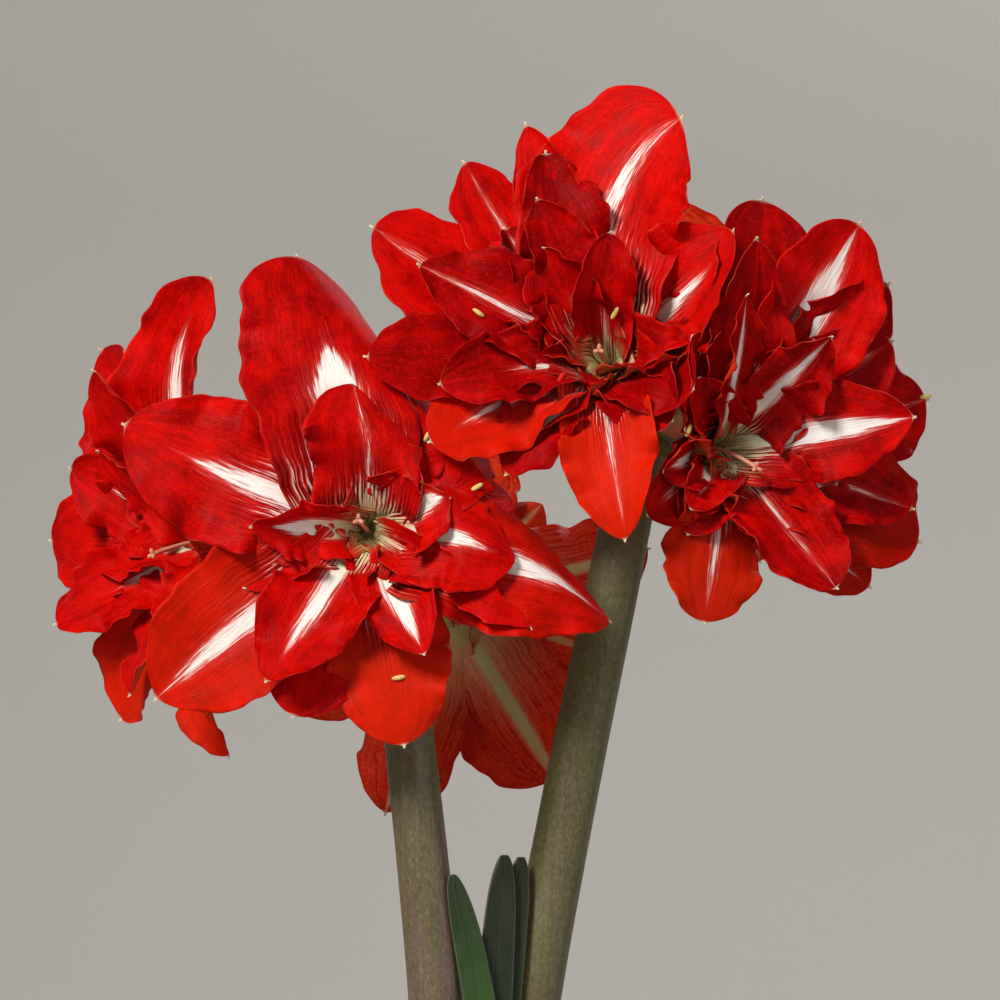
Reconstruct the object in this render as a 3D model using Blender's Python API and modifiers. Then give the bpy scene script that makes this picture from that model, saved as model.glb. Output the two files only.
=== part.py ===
"""Potted double amaryllis: one bulb in a plain pot, with two flower stalks, young leaves and six double blooms.

Frame: +Z up, origin at the middle of the pot's flat underside, +Y away from the viewer, +X to the right.
Lengths below are in millimetres and angles in degrees; MM turns them into Blender's metres.
"""

import math

import bmesh
import bpy
import numpy as np
from mathutils import Matrix, Vector

MM = 0.001
CLEARANCE = 0.3

POT_HEIGHT = 150.0
POT_RIM_RADIUS = 88.0
POT_FOOT_RADIUS = 62.0
POT_WALL = 6.0
POT_FLOOR = 9.0
RIM_BAND_HEIGHT = 24.0
RIM_BAND_PROUD = 4.0

SOIL_LEVEL = 137.0

BULB_BOTTOM = 72.0
BULB_RADIUS = 50.0
BULB_WIDEST = 122.0
NECK_TOP = 204.0
NECK_RADIUS = 29.0
POCKET_DEPTH = 10.0

TURN_STEPS = 24

LEFT_UMBEL = (-32.0, 0.0, 441.0)
RIGHT_UMBEL = (65.7, 6.0, 521.0)
LEFT_STALK = (
    (-14.0, -9.5, NECK_TOP - POCKET_DEPTH + 1.0),
    (-15.2, -9.5, 250.0),
    (-16.9, -9.0, 297.0),
    (-21.7, -7.0, 349.0),
    (-27.7, -3.5, 403.0),
    LEFT_UMBEL,
)
RIGHT_STALK = (
    (14.0, 9.5, NECK_TOP - POCKET_DEPTH + 1.0),
    (16.6, 9.8, 250.0),
    (21.8, 9.8, 297.0),
    (37.8, 9.0, 383.0),
    (51.6, 7.5, 450.6),
    RIGHT_UMBEL,
)
STALK_RADII_LEFT = (11.6, 9.6)
STALK_RADII_RIGHT = (12.4, 10.2)
STALK_RINGS = 9

PEDICEL_RADIUS = 4.2
OVARY_RADIUS = 6.6
OVARY_LENGTH = 16.0

PETAL_THICKNESS = 0.8
TUBE_PROFILE = ((0.0, 16.0), (8.0, 19.0), (13.5, 23.5), (14.0, 22.0), (11.0, 13.0), (5.0, 0.0))
TUBE_STEPS = 12
PETAL_LEAD = 5.0
ROOT_SHARE = 0.10
LAYER_LEAN = 6.0
SEPARATOR_SOFTNESS = 4.0
SEPARATOR_GAP = 1.2
SEPARATOR_STEP = 0.9

# How each kind of petal leaves the tube: start angle from the flower's axis, start radius, claw share of the
# width, and how many grid cells it has across and along.
KINDS = {
    "tepal": {"start": 24.0, "radius": 4.4, "claw": 0.20, "cells": (2, 6)},
    "petal": {"start": 17.0, "radius": 3.4, "claw": 0.20, "cells": (2, 5)},
}

# One row for each petal: kind, angle round the axis, reach from the axis, width, opening, curl, cup, sway, twist.
FRONT_PETALS = (
    ("tepal", 98, 112, 76, 82, 8, 12, 0, 0),
    ("tepal", 48, 84, 62, 82, 16, 14, 0, 0),
    ("tepal", 160, 100, 66, 84, 12, -10, -8, 0),
    ("tepal", 217, 104, 70, 84, 6, 16, 5, 0),
    ("tepal", 280, 81, 58, 80, 24, -14, 0, 0),
    ("tepal", 351, 110, 74, 84, 4, 14, 0, 0),
    ("petal", 87, 58, 60, 52, 16, 16, 0, 0),
    ("petal", 20, 41, 38, 40, -8, 62, 0, 30),
    ("petal", 354, 66, 58, 62, 12, 20, 0, -12),
    ("petal", 298, 55, 34, 46, 18, 18, 0, 0),
    ("petal", 238, 71, 50, 62, 10, 20, 0, 8),
)
TOP_PETALS = (
    ("tepal", 88, 98, 80, 72, 4, 16, -12, 0),
    ("tepal", 33, 76, 56, 62, 26, 26, 0, 0),
    ("tepal", 279, 74, 44, 84, 40, 12, 0, 0),
    ("tepal", 160, 108, 62, 80, 8, 14, 0, 0),
    ("tepal", 214, 90, 52, 84, 14, 12, 0, 0),
    ("tepal", 138, 100, 44, 82, 6, 16, 0, 0),
    ("petal", 114, 66, 48, 48, 6, 30, 0, 0),
    ("petal", 118, 84, 46, 62, 10, 20, 0, 0),
    ("petal", 138, 72, 36, 58, 20, 40, 0, 30),
    ("petal", 160, 74, 46, 54, 8, 26, 0, 0),
    ("petal", 184, 88, 46, 66, 10, 24, 0, 0),
    ("petal", 338, 62, 52, 64, 30, 30, 0, 0),
    ("petal", 232, 78, 46, 66, 20, 24, 0, 0),
    ("petal", 302, 60, 38, 60, 30, 30, 0, 0),
)
RIGHT_PETALS = (
    ("tepal", 84, 94, 70, 80, 6, 16, 0, 0),
    ("tepal", 48, 96, 60, 80, 10, 20, 0, 0),
    ("tepal", 12, 90, 60, 78, 14, 18, 0, 0),
    ("tepal", 332, 90, 58, 78, 20, 16, 0, 0),
    ("tepal", 298, 74, 52, 84, 10, 16, 0, 0),
    ("tepal", 258, 72, 54, 84, 14, -12, 0, 0),
    ("tepal", 140, 74, 56, 70, 20, 20, 0, 0),
    ("petal", 78, 80, 52, 60, 8, 24, 0, 0),
    ("petal", 52, 56, 38, 42, 10, 40, 0, 0),
    ("petal", 28, 80, 50, 66, 10, 20, 0, 0),
    ("petal", 9, 68, 44, 54, 10, 24, 0, 0),
    ("petal", 342, 82, 36, 70, 8, 30, 0, 0),
    ("petal", 308, 66, 46, 58, 8, 20, 0, 0),
    ("petal", 118, 58, 36, 50, 20, 40, 0, 0),
    ("petal", 168, 44, 34, 46, 30, 50, 0, 0),
)
LEFT_PETALS = (
    ("tepal", 74, 104, 52, 76, 60, 30, 10, 10),
    ("tepal", 124, 92, 66, 70, 0, 24, 0, 0),
    ("tepal", 182, 88, 62, 74, 10, 20, 0, 0),
    ("tepal", 238, 90, 62, 76, 14, 20, 0, 0),
    ("tepal", 288, 92, 50, 80, 44, 24, 0, 0),
    ("tepal", 0, 52, 44, 60, 50, 30, 0, 0),
    ("petal", 100, 66, 48, 48, 6, 26, 0, 0),
    ("petal", 156, 66, 50, 52, 10, 24, 0, 0),
    ("petal", 214, 68, 48, 56, 10, 24, 0, 0),
    ("petal", 262, 66, 48, 52, 16, 24, 0, 20),
    ("petal", 318, 50, 38, 48, 30, 30, 0, 0),
)
REAR_LEFT_PETALS = (
    ("tepal", 237, 86, 62, 80, 14, 18, 0, 0),
    ("tepal", 283, 94, 54, 82, 16, 20, 0, 0),
    ("tepal", 328, 82, 58, 80, 14, 16, 0, 0),
    ("tepal", 28, 86, 60, 80, 18, 16, 0, 0),
    ("tepal", 90, 88, 62, 78, 12, 18, 0, 0),
    ("tepal", 165, 88, 60, 80, 16, 18, 0, 0),
    ("petal", 58, 64, 46, 58, 12, 24, 0, 0),
    ("petal", 196, 66, 46, 58, 12, 24, 0, 0),
    ("petal", 305, 64, 46, 58, 12, 24, 0, 0),
)
REAR_RIGHT_PETALS = (
    ("tepal", 20, 74, 56, 76, 18, 18, 0, 0),
    ("tepal", 80, 78, 60, 72, 12, 18, 0, 0),
    ("tepal", 140, 84, 58, 76, 14, 18, 0, 0),
    ("tepal", 200, 86, 60, 80, 16, 18, 0, 0),
    ("tepal", 260, 84, 58, 82, 18, 18, 0, 0),
    ("tepal", 320, 76, 56, 80, 16, 18, 0, 0),
    ("petal", 52, 60, 46, 56, 12, 24, 0, 0),
    ("petal", 170, 62, 46, 58, 12, 24, 0, 0),
    ("petal", 290, 62, 46, 58, 12, 24, 0, 0),
)


# Each bloom: the top of its ovary, the way it faces, its umbel and its petals.
BLOOMS = {
    "bloom_front": ((-42.0, -28.0, 477.0), (-0.06, -1.0, 0.08), "left", FRONT_PETALS),
    "bloom_left": ((-93.0, 20.0, 481.0), (-0.80, -0.60, 0.05), "left", LEFT_PETALS),
    "bloom_rear_left": ((-17.0, 44.0, 461.0), (0.16, 0.93, -0.26), "left", REAR_LEFT_PETALS),
    "bloom_top": ((57.0, -20.0, 543.0), (-0.24, -0.86, 0.42), "right", TOP_PETALS),
    "bloom_right": ((88.0, -22.0, 517.0), (0.44, -0.88, 0.04), "right", RIGHT_PETALS),
    "bloom_rear_right": ((86.0, 42.0, 541.0), (0.36, 0.88, 0.30), "right", REAR_RIGHT_PETALS),
}

# Planes that keep neighbouring blooms apart: blooms behind the plane, blooms in front of it, point, normal.
LEFT_HEAD = ("bloom_front", "bloom_left", "bloom_rear_left")
RIGHT_HEAD = ("bloom_top", "bloom_right", "bloom_rear_right")
SEPARATORS = (
    (LEFT_HEAD, RIGHT_HEAD, (10.0, -30.0, 512.0), (0.70, -0.35, 0.62)),
    (("bloom_left",), ("bloom_front",), (-118.0, -28.0, 480.0), (0.50, -0.87, 0.0)),
    (("bloom_rear_left",), ("bloom_front",), (-20.0, 16.0, 440.0), (0.0, -1.0, 0.12)),
    (("bloom_left",), ("bloom_rear_left",), (-60.0, 42.0, 480.0), (0.88, 0.40, -0.10)),
    (("bloom_top",), ("bloom_right",), (76.0, -30.0, 534.0), (0.90, 0.30, -0.25)),
    (("bloom_rear_right",), ("bloom_top",), (60.0, 14.0, 560.0), (-0.25, -0.95, 0.0)),
    (("bloom_rear_right",), ("bloom_right",), (100.0, 12.0, 530.0), (0.10, -0.98, -0.15)),
)

# Young leaves: foot, tip, width, the way the face looks round Z, sideways bow.
LEAVES = {
    "leaf_front": ((3.0, -15.0), (-10.0, -14.0, 348.5), 13.0, -80.0, 4.4),
    "leaf_middle": ((6.0, -9.5), (10.6, -7.0, 355.6), 14.0, -80.0, -1.7),
    "leaf_right": ((7.5, -5.2), (17.2, -3.2, 354.4), 13.0, -80.0, -1.3),
}
LEAF_THICKNESS = 1.8
LEAF_SLOT_MIDDLE = (5.5, -9.6)
LEAF_SLOT_SIZE = (17.0, 15.0)
LEAF_SLOT_TURN = 10.0

GREEN_STALK = (0.16, 0.17, 0.07)
GREEN_LEAF = (0.05, 0.12, 0.03)
PETAL_RED = (0.62, 0.01, 0.01)
BULB_BROWN = (0.25, 0.12, 0.05)
SOIL_BROWN = (0.06, 0.04, 0.03)
POT_GREY = (0.62, 0.60, 0.56)


def clear_scene():
    for obj in list(bpy.data.objects):
        bpy.data.objects.remove(obj, do_unlink=True)


def material(name, colour, roughness):
    made = bpy.data.materials.new(name)
    made.use_nodes = True
    shader = made.node_tree.nodes["Principled BSDF"]
    shader.inputs["Base Color"].default_value = (*colour, 1.0)
    shader.inputs["Roughness"].default_value = roughness
    return made


def unit(vector):
    vector = np.asarray(vector, float)
    return vector / np.linalg.norm(vector)


def smooth(x):
    x = np.clip(x, 0.0, 1.0)
    return x * x * (3.0 - 2.0 * x)


def bloom_axes(facing):
    """Sideways, upward and outward unit vectors of a bloom: angle 0 is sideways and 90 is upward."""
    outward = unit(facing)
    sideways = unit(np.cross((0.0, 0.0, 1.0), outward))
    return sideways, np.cross(outward, sideways), outward


def petal_width(v, claw):
    """Half-width share along a petal: a narrow claw, widest past the middle, with a round apex."""
    blade = v**0.7 * np.clip(1.0 - v**3.4, 0.0, 1.0) ** 0.62 / 0.628
    return np.maximum(claw * (1.0 - v) + (1.0 - claw) * blade, 0.07)


def petal_surface(name, index, row, u, v):
    """Points of a petal's middle surface: u runs from -1 to 1 across it, v from 0 at the tube to 1 at the tip.

    The midrib's lean from the axis grows from the kind's start angle to the opening over the first 42 hundredths,
    and by the curl from there to the tip. Every other petal leans LAYER_LEAN more, so that neighbours lie in
    layers. The section across is an arc, deep at the claw.
    """
    kind, angle, reach, width, opening, curl, cup, sway, twist = row
    shape = KINDS[kind]
    foot, facing = BLOOMS[name][:2]
    e1, e2, axis = bloom_axes(facing)

    layer = LAYER_LEAN * (index % 2)

    def lean(t):
        opened = shape["start"] + layer + (opening - shape["start"]) * smooth(t / 0.42)
        return np.radians(opened + curl * np.clip((t - 0.4) / 0.6, 0.0, 1.0) ** 1.3)

    def heading(t):
        return np.radians(angle + sway * t**2)

    def radial(phi):
        return np.cos(phi)[:, None] * e1 + np.sin(phi)[:, None] * e2

    steps = np.linspace(0.0, 1.0, 65)
    tangent = np.cos(lean(steps))[:, None] * axis + np.sin(lean(steps))[:, None] * radial(heading(steps))
    middle = (tangent[1:] + tangent[:-1]) / 2 / 64
    run = np.vstack([np.zeros(3), np.cumsum(middle, axis=0)])
    outwards = np.sin(lean(steps))
    spread = np.mean(outwards[1:] + outwards[:-1]) / 2
    length = (reach - shape["radius"]) / spread
    start = np.asarray(foot) + PETAL_LEAD * axis + shape["radius"] * radial(heading(steps[:1]))[0]
    midrib = start + length * run

    centre = np.stack([np.interp(v, steps, midrib[:, k]) for k in range(3)], axis=1)
    theta, phi = lean(v), heading(v)
    across = -np.sin(phi)[:, None] * e1 + np.cos(phi)[:, None] * e2
    inward = np.sin(theta)[:, None] * axis - np.cos(theta)[:, None] * radial(phi)
    roll = np.radians(twist) * v**1.4
    side = np.cos(roll)[:, None] * across + np.sin(roll)[:, None] * inward
    normal = np.cos(roll)[:, None] * inward - np.sin(roll)[:, None] * across

    half = width / 2 * petal_width(v, shape["claw"])
    bend = np.radians(70.0) * (1.0 - v) ** 4 + np.radians(cup) * (1.0 - (1.0 - v) ** 4)
    bend = np.where(np.abs(bend) < 1e-3, 1e-3, bend)
    out = half * u * np.sinc(bend * u / np.pi)
    rise = half * bend * u**2 / 2 * np.sinc(bend * u / 2 / np.pi) ** 2
    points = centre + out[:, None] * side + rise[:, None] * normal
    return keep_clear(name, index, points)


def keep_clear(name, index, points):
    """Presses a petal softly back from the planes between its bloom and the neighbouring ones."""
    gap = SEPARATOR_GAP + SEPARATOR_STEP * (index % 6)
    for behind, ahead, point, normal in SEPARATORS:
        if name not in behind + ahead:
            continue
        outward = unit(normal) * (1.0 if name in ahead else -1.0)
        depth = (points - np.asarray(point)) @ outward
        pressed = gap + SEPARATOR_SOFTNESS * np.logaddexp(0.0, (depth - gap) / SEPARATOR_SOFTNESS)
        points = points + (pressed - depth)[:, None] * outward
    return points


def petal_object(name, index, row, collection):
    """A thin closed blade: a grid carried onto the petal's surface, split into triangles and given its thickness."""
    cells_across, cells_along = KINDS[row[0]]["cells"]
    mesh = bpy.data.meshes.new(f"{name}_petal_{index}")
    grid = bmesh.new()
    bmesh.ops.create_grid(grid, x_segments=cells_across, y_segments=cells_along, size=1.0)
    places = np.array([v.co[:2] for v in grid.verts])
    to_tip = np.clip((1.0 - places[:, 1]) / 2, 0.0, 1.0)
    along = ROOT_SHARE + (1.0 - ROOT_SHARE) * (1.0 - to_tip**1.3)
    points = petal_surface(name, index, row, places[:, 0], along)
    for vert, point in zip(grid.verts, points):
        vert.co = Vector(point) * MM
    bmesh.ops.triangulate(grid, faces=grid.faces)
    grid.to_mesh(mesh)
    grid.free()
    obj = bpy.data.objects.new(mesh.name, mesh)
    collection.objects.link(obj)
    thicken = obj.modifiers.new("Thickness", "SOLIDIFY")
    thicken.thickness = PETAL_THICKNESS * MM
    thicken.offset = 0.0
    return obj


def tube_core(name, collection):
    """The short perianth tube that every petal of a bloom is rooted in, dished at the throat."""
    foot, facing = BLOOMS[name][:2]
    axis = Vector(unit(facing))
    core = turned(name, [*TUBE_PROFILE, (0.0, 0.0)], TUBE_STEPS, collection)
    apply_modifiers(core)
    place = Matrix.Translation((Vector(foot) + axis * CLEARANCE) * MM)
    core.data.transform(place @ axis.to_track_quat("Z", "Y").to_matrix().to_4x4())
    return core


def apply_modifiers(obj):
    """Replaces an object's mesh by its evaluated one and drops the modifiers."""
    graph = bpy.context.evaluated_depsgraph_get()
    made = bpy.data.meshes.new_from_object(obj.evaluated_get(graph))
    obj.modifiers.clear()
    obj.data = made


def keep_outer_shell(mesh):
    """Fills hollows that a union sealed and drops loose scraps: only the largest closed shell stays."""
    shells = bmesh.new()
    shells.from_mesh(mesh)
    bmesh.ops.triangulate(shells, faces=shells.faces)
    unseen = set(shells.faces)
    found = []
    while unseen:
        front = [unseen.pop()]
        shell = list(front)
        while front:
            face = front.pop()
            linked = {other for edge in face.edges for other in edge.link_faces} & unseen
            unseen -= linked
            front.extend(linked)
            shell.extend(linked)
        found.append(shell)

    def volume(shell):
        corners = ([vert.co for vert in face.verts] for face in shell)
        return sum(a.dot(b.cross(c)) for a, b, c in corners)

    outer = max(found, key=volume)
    bmesh.ops.delete(shells, geom=[face for shell in found if shell is not outer for face in shell], context="FACES")
    shells.to_mesh(mesh)
    shells.free()


def join_all(obj, others):
    """Unions a collection's closed meshes into one object, and removes the collection's objects."""
    union = obj.modifiers.new("Join", "BOOLEAN")
    union.operation = "UNION"
    union.operand_type = "COLLECTION"
    union.collection = others
    union.solver = "MANIFOLD"
    apply_modifiers(obj)
    keep_outer_shell(obj.data)
    for other in list(others.objects):
        bpy.data.objects.remove(other, do_unlink=True)
    bpy.data.collections.remove(others)


def helper_collection(name):
    made = bpy.data.collections.new(name)
    bpy.context.scene.collection.children.link(made)
    return made


def make_bloom(name, rows, collection, finish):
    core = tube_core(name, collection)
    petals = helper_collection(name + "_petals")
    for index, row in enumerate(rows):
        apply_modifiers(petal_object(name, index, row, petals))
    join_all(core, petals)
    core.data.materials.clear()
    core.data.materials.append(finish)
    return core


def curve_mesh(name, points, radii, sides_resolution, collection):
    """A round tube through the points, in millimetres, as a closed mesh with its caps welded."""
    data = bpy.data.curves.new(name, "CURVE")
    data.dimensions = "3D"
    data.bevel_depth = MM
    data.bevel_resolution = sides_resolution
    data.use_fill_caps = True
    spline = data.splines.new("POLY")
    spline.points.add(len(points) - 1)
    for place, point, radius in zip(spline.points, points, radii):
        place.co = (*(Vector(point) * MM), 1.0)
        place.radius = radius
    curve = bpy.data.objects.new(name + "_line", data)
    bpy.context.scene.collection.objects.link(curve)
    bpy.context.view_layer.update()
    mesh = bpy.data.meshes.new_from_object(curve.evaluated_get(bpy.context.evaluated_depsgraph_get()))
    weld = bmesh.new()
    weld.from_mesh(mesh)
    bmesh.ops.remove_doubles(weld, verts=weld.verts, dist=1e-6)
    weld.to_mesh(mesh)
    weld.free()
    obj = bpy.data.objects.new(name, mesh)
    obj.matrix_world = curve.matrix_world
    collection.objects.link(obj)
    bpy.data.objects.remove(curve, do_unlink=True)
    return obj


def smooth_line(points, count):
    """Evenly numbered points on a Catmull-Rom curve through the given ones."""
    knots = np.asarray(points, float)
    knots = np.vstack([2 * knots[0] - knots[1], knots, 2 * knots[-1] - knots[-2]])
    made = []
    for t in np.linspace(0, len(points) - 1, count):
        i = min(int(t), len(points) - 2)
        f = t - i
        p0, p1, p2, p3 = knots[i : i + 4]
        made.append(0.5 * (2 * p1 + (p2 - p0) * f + (2 * p0 - 5 * p1 + 4 * p2 - p3) * f**2
                           + (3 * p1 - p0 - 3 * p2 + p3) * f**3))
    return np.array(made)


def pedicel_line(umbel, bloom):
    """Middle line and radii of a flower's own stalk: out of the umbel, round to the bloom's axis, into the ovary."""
    foot, facing = BLOOMS[bloom][:2]
    start, end, axis = np.asarray(umbel, float), np.asarray(foot, float), unit(facing)
    neck = end - axis * OVARY_LENGTH
    away = unit(neck - start)
    bow = np.linalg.norm(neck - start) / 3
    t = np.linspace(0, 1, 6)[:, None]
    first = start + (away + np.array((0.0, 0.0, 0.5))) * bow
    second = neck - axis * bow
    line = (1 - t) ** 3 * start + 3 * (1 - t) ** 2 * t * first + 3 * (1 - t) * t**2 * second + t**3 * neck
    ovary = neck + np.outer((0.3, 0.65, 1.0), axis) * OVARY_LENGTH
    radii = [PEDICEL_RADIUS] * 6 + [OVARY_RADIUS * 0.95, OVARY_RADIUS, OVARY_RADIUS * 0.8]
    return np.vstack([line, ovary]), radii


def make_stalk(name, route, radii, blooms, collection, finish):
    """A scape with the flower stalks and ovaries that grow from its top, joined in one body."""
    line = smooth_line(route, STALK_RINGS)
    share = np.linspace(0, 1, STALK_RINGS)
    thickness = list(radii[0] + (radii[1] - radii[0]) * share)
    crown = line[-1] + np.array((0.0, 0.0, 4.0))
    stalk = curve_mesh(name, [*line, crown], [*thickness, radii[1] * 0.62], 5, collection)
    flower_stalks = helper_collection(name + "_flower_stalks")
    for bloom in blooms:
        points, sizes = pedicel_line(route[-1], bloom)
        curve_mesh(bloom + "_pedicel", points, sizes, 2, flower_stalks)
    join_all(stalk, flower_stalks)
    stalk.data.materials.append(finish)
    stalk.data.shade_smooth()
    return stalk


def turned(name, profile, steps, collection):
    """A solid of revolution about Z from a profile that runs down its outer side, top to bottom."""
    mesh = bpy.data.meshes.new(name)
    line = bmesh.new()
    verts = [line.verts.new((radius * MM, 0.0, height * MM)) for radius, height in profile]
    for first, second in zip(verts, verts[1:]):
        line.edges.new((first, second))
    line.to_mesh(mesh)
    line.free()
    obj = bpy.data.objects.new(name, mesh)
    collection.objects.link(obj)
    screw = obj.modifiers.new("Turn", "SCREW")
    screw.steps = steps
    screw.render_steps = steps
    screw.use_merge_vertices = True
    screw.merge_threshold = 0.00001
    return obj


def pot_inner_radius(height):
    """Inside radius of the pot's straight tapered wall."""
    share = (height - POT_FLOOR) / (POT_HEIGHT - POT_FLOOR)
    return (POT_FOOT_RADIUS - POT_WALL) + (POT_RIM_RADIUS - RIM_BAND_PROUD - POT_FOOT_RADIUS) * share


def make_pot(collection):
    body_rim = POT_RIM_RADIUS - RIM_BAND_PROUD
    band_foot = POT_HEIGHT - RIM_BAND_HEIGHT
    body_at_band = POT_FOOT_RADIUS + (body_rim - POT_FOOT_RADIUS) * band_foot / POT_HEIGHT
    profile = (
        (0.0, POT_FLOOR),
        (pot_inner_radius(POT_FLOOR) - 4.0, POT_FLOOR),
        (pot_inner_radius(POT_FLOOR + 4.0), POT_FLOOR + 4.0),
        (pot_inner_radius(POT_HEIGHT - 2.5), POT_HEIGHT - 2.5),
        (pot_inner_radius(POT_HEIGHT) + 1.5, POT_HEIGHT),
        (POT_RIM_RADIUS - 2.0, POT_HEIGHT),
        (POT_RIM_RADIUS, POT_HEIGHT - 2.5),
        (POT_RIM_RADIUS - 1.0, band_foot + 2.0),
        (POT_RIM_RADIUS - 3.0, band_foot),
        (body_at_band, band_foot - 2.0),
        (POT_FOOT_RADIUS + 0.5, 3.0),
        (POT_FOOT_RADIUS - 2.5, 0.0),
        (0.0, 0.0),
    )
    pot = turned("pot", profile, TURN_STEPS, collection)
    pot.data.materials.append(material("pot_glaze", POT_GREY, 0.5))


def bulb_outline():
    """Radius and height down the bulb's outer side: neck, shoulder, belly, basal plate."""
    return (
        (NECK_RADIUS - 2.5, NECK_TOP),
        (NECK_RADIUS - 0.5, NECK_TOP - 2.0),
        (NECK_RADIUS - 0.8, NECK_TOP - 14.0),
        (NECK_RADIUS + 2.0, NECK_TOP - 26.0),
        (NECK_RADIUS + 8.5, NECK_TOP - 40.0),
        (BULB_RADIUS - 4.5, BULB_WIDEST + 24.0),
        (BULB_RADIUS, BULB_WIDEST),
        (BULB_RADIUS - 3.5, BULB_WIDEST - 18.0),
        (BULB_RADIUS - 13.0, BULB_WIDEST - 34.0),
        (24.0, BULB_BOTTOM + 5.0),
        (20.0, BULB_BOTTOM),
    )


def make_bulb(collection, standing):
    """The bulb, with a plain pocket in its neck for every stalk and leaf that grows out of it."""
    outline = bulb_outline()
    profile = [(0.0, NECK_TOP), *outline, (0.0, BULB_BOTTOM)]
    bulb = turned("bulb", profile, TURN_STEPS, collection)
    apply_modifiers(bulb)
    bulb.data.materials.append(material("bulb_tunic", BULB_BROWN, 0.7))
    for cutter in standing:
        cut = bulb.modifiers.new("Pocket", "BOOLEAN")
        cut.operation = "DIFFERENCE"
        cut.object = cutter
    return bulb


def make_soil(collection):
    """Potting mix that fills the pot, slightly domed, with a seat that fits the bulb's buried part."""
    outline = bulb_outline()
    buried = [(radius + CLEARANCE, height - 0.2) for radius, height in outline if height < SOIL_LEVEL - 4.0]
    shoulder = [point for point in outline if point[1] > SOIL_LEVEL][-1]
    belly = [point for point in outline if point[1] < SOIL_LEVEL][0]
    share = (SOIL_LEVEL - belly[1]) / (shoulder[1] - belly[1])
    collar = belly[0] + (shoulder[0] - belly[0]) * share + CLEARANCE
    edge = pot_inner_radius(SOIL_LEVEL - 4.0) - CLEARANCE
    profile = (
        (0.0, BULB_BOTTOM - CLEARANCE),
        *[(radius, height) for radius, height in reversed(buried)],
        (collar, SOIL_LEVEL),
        (collar + 12.0, SOIL_LEVEL + 0.5),
        (edge - 6.0, SOIL_LEVEL - 2.0),
        (edge, SOIL_LEVEL - 4.0),
        (pot_inner_radius(POT_FLOOR + 4.0) - CLEARANCE, POT_FLOOR + 4.0),
        (pot_inner_radius(POT_FLOOR) - 4.0 - CLEARANCE, POT_FLOOR + CLEARANCE),
        (0.0, POT_FLOOR + CLEARANCE),
    )
    soil = turned("soil", profile, TURN_STEPS, collection)
    soil.data.materials.append(material("potting_mix", SOIL_BROWN, 0.95))


def leaf_surface(foot, tip, width, facing, bow, u, v):
    """Middle surface of a strap leaf, from its foot in the neck to its rounded tip, folded along the midrib."""
    start = np.array((*foot, NECK_TOP - POCKET_DEPTH + 2.0))
    end = np.asarray(tip, float)
    turn = np.radians(facing)
    side = np.array((math.cos(turn + math.pi / 2), math.sin(turn + math.pi / 2), 0.0))
    face = np.array((math.cos(turn), math.sin(turn), 0.0))
    line = start + (end - start) * np.stack([v**1.8, v**1.8, v], axis=1) + np.outer(bow * np.sin(np.pi * v), side)
    half = width / 2 * (0.62 + 0.38 * smooth(v / 0.4)) * np.sqrt(np.clip(1.0 - (v / 1.004) ** 9, 0.0, 1.0))
    half = np.maximum(half, 1.0)
    return line + (u * half)[:, None] * side + (u**2 * half * 0.16)[:, None] * face


def make_leaf(name, collection, finish):
    foot, tip, width, facing, bow = LEAVES[name]
    mesh = bpy.data.meshes.new(name)
    grid = bmesh.new()
    bmesh.ops.create_grid(grid, x_segments=2, y_segments=10, size=1.0)
    places = np.array([v.co[:2] for v in grid.verts])
    along = (places[:, 1] + 1.0) / 2
    points = leaf_surface(foot, tip, width, facing, bow, places[:, 0], along**0.8)
    for vert, point in zip(grid.verts, points):
        vert.co = Vector(point) * MM
    bmesh.ops.triangulate(grid, faces=grid.faces)
    grid.to_mesh(mesh)
    grid.free()
    leaf = bpy.data.objects.new(name, mesh)
    collection.objects.link(leaf)
    thicken = leaf.modifiers.new("Thickness", "SOLIDIFY")
    thicken.thickness = LEAF_THICKNESS * MM
    thicken.offset = 0.0
    mesh.materials.append(finish)
    return leaf


def pocket_cutters(cutters):
    """Plain round holes for the two stalks and one slot for the leaves, with the clearance round them."""
    made = []
    for route, radii in ((LEFT_STALK, STALK_RADII_LEFT), (RIGHT_STALK, STALK_RADII_RIGHT)):
        bpy.ops.mesh.primitive_cylinder_add(
            vertices=24,
            radius=(radii[0] + 2 * CLEARANCE) * MM,
            depth=2 * POCKET_DEPTH * MM,
            location=Vector((route[0][0], route[0][1], NECK_TOP)) * MM,
        )
        made.append(bpy.context.object)
    bpy.ops.mesh.primitive_cube_add(size=1.0, location=Vector((*LEAF_SLOT_MIDDLE, NECK_TOP)) * MM)
    slot = bpy.context.object
    slot.scale = Vector((*LEAF_SLOT_SIZE, 2 * POCKET_DEPTH)) * MM
    slot.rotation_euler = (0.0, 0.0, math.radians(LEAF_SLOT_TURN))
    made.append(slot)
    for cutter in made:
        for other in cutter.users_collection:
            other.objects.unlink(cutter)
        cutters.objects.link(cutter)
        cutter.hide_render = True
        cutter.display_type = "WIRE"
    return made


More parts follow.
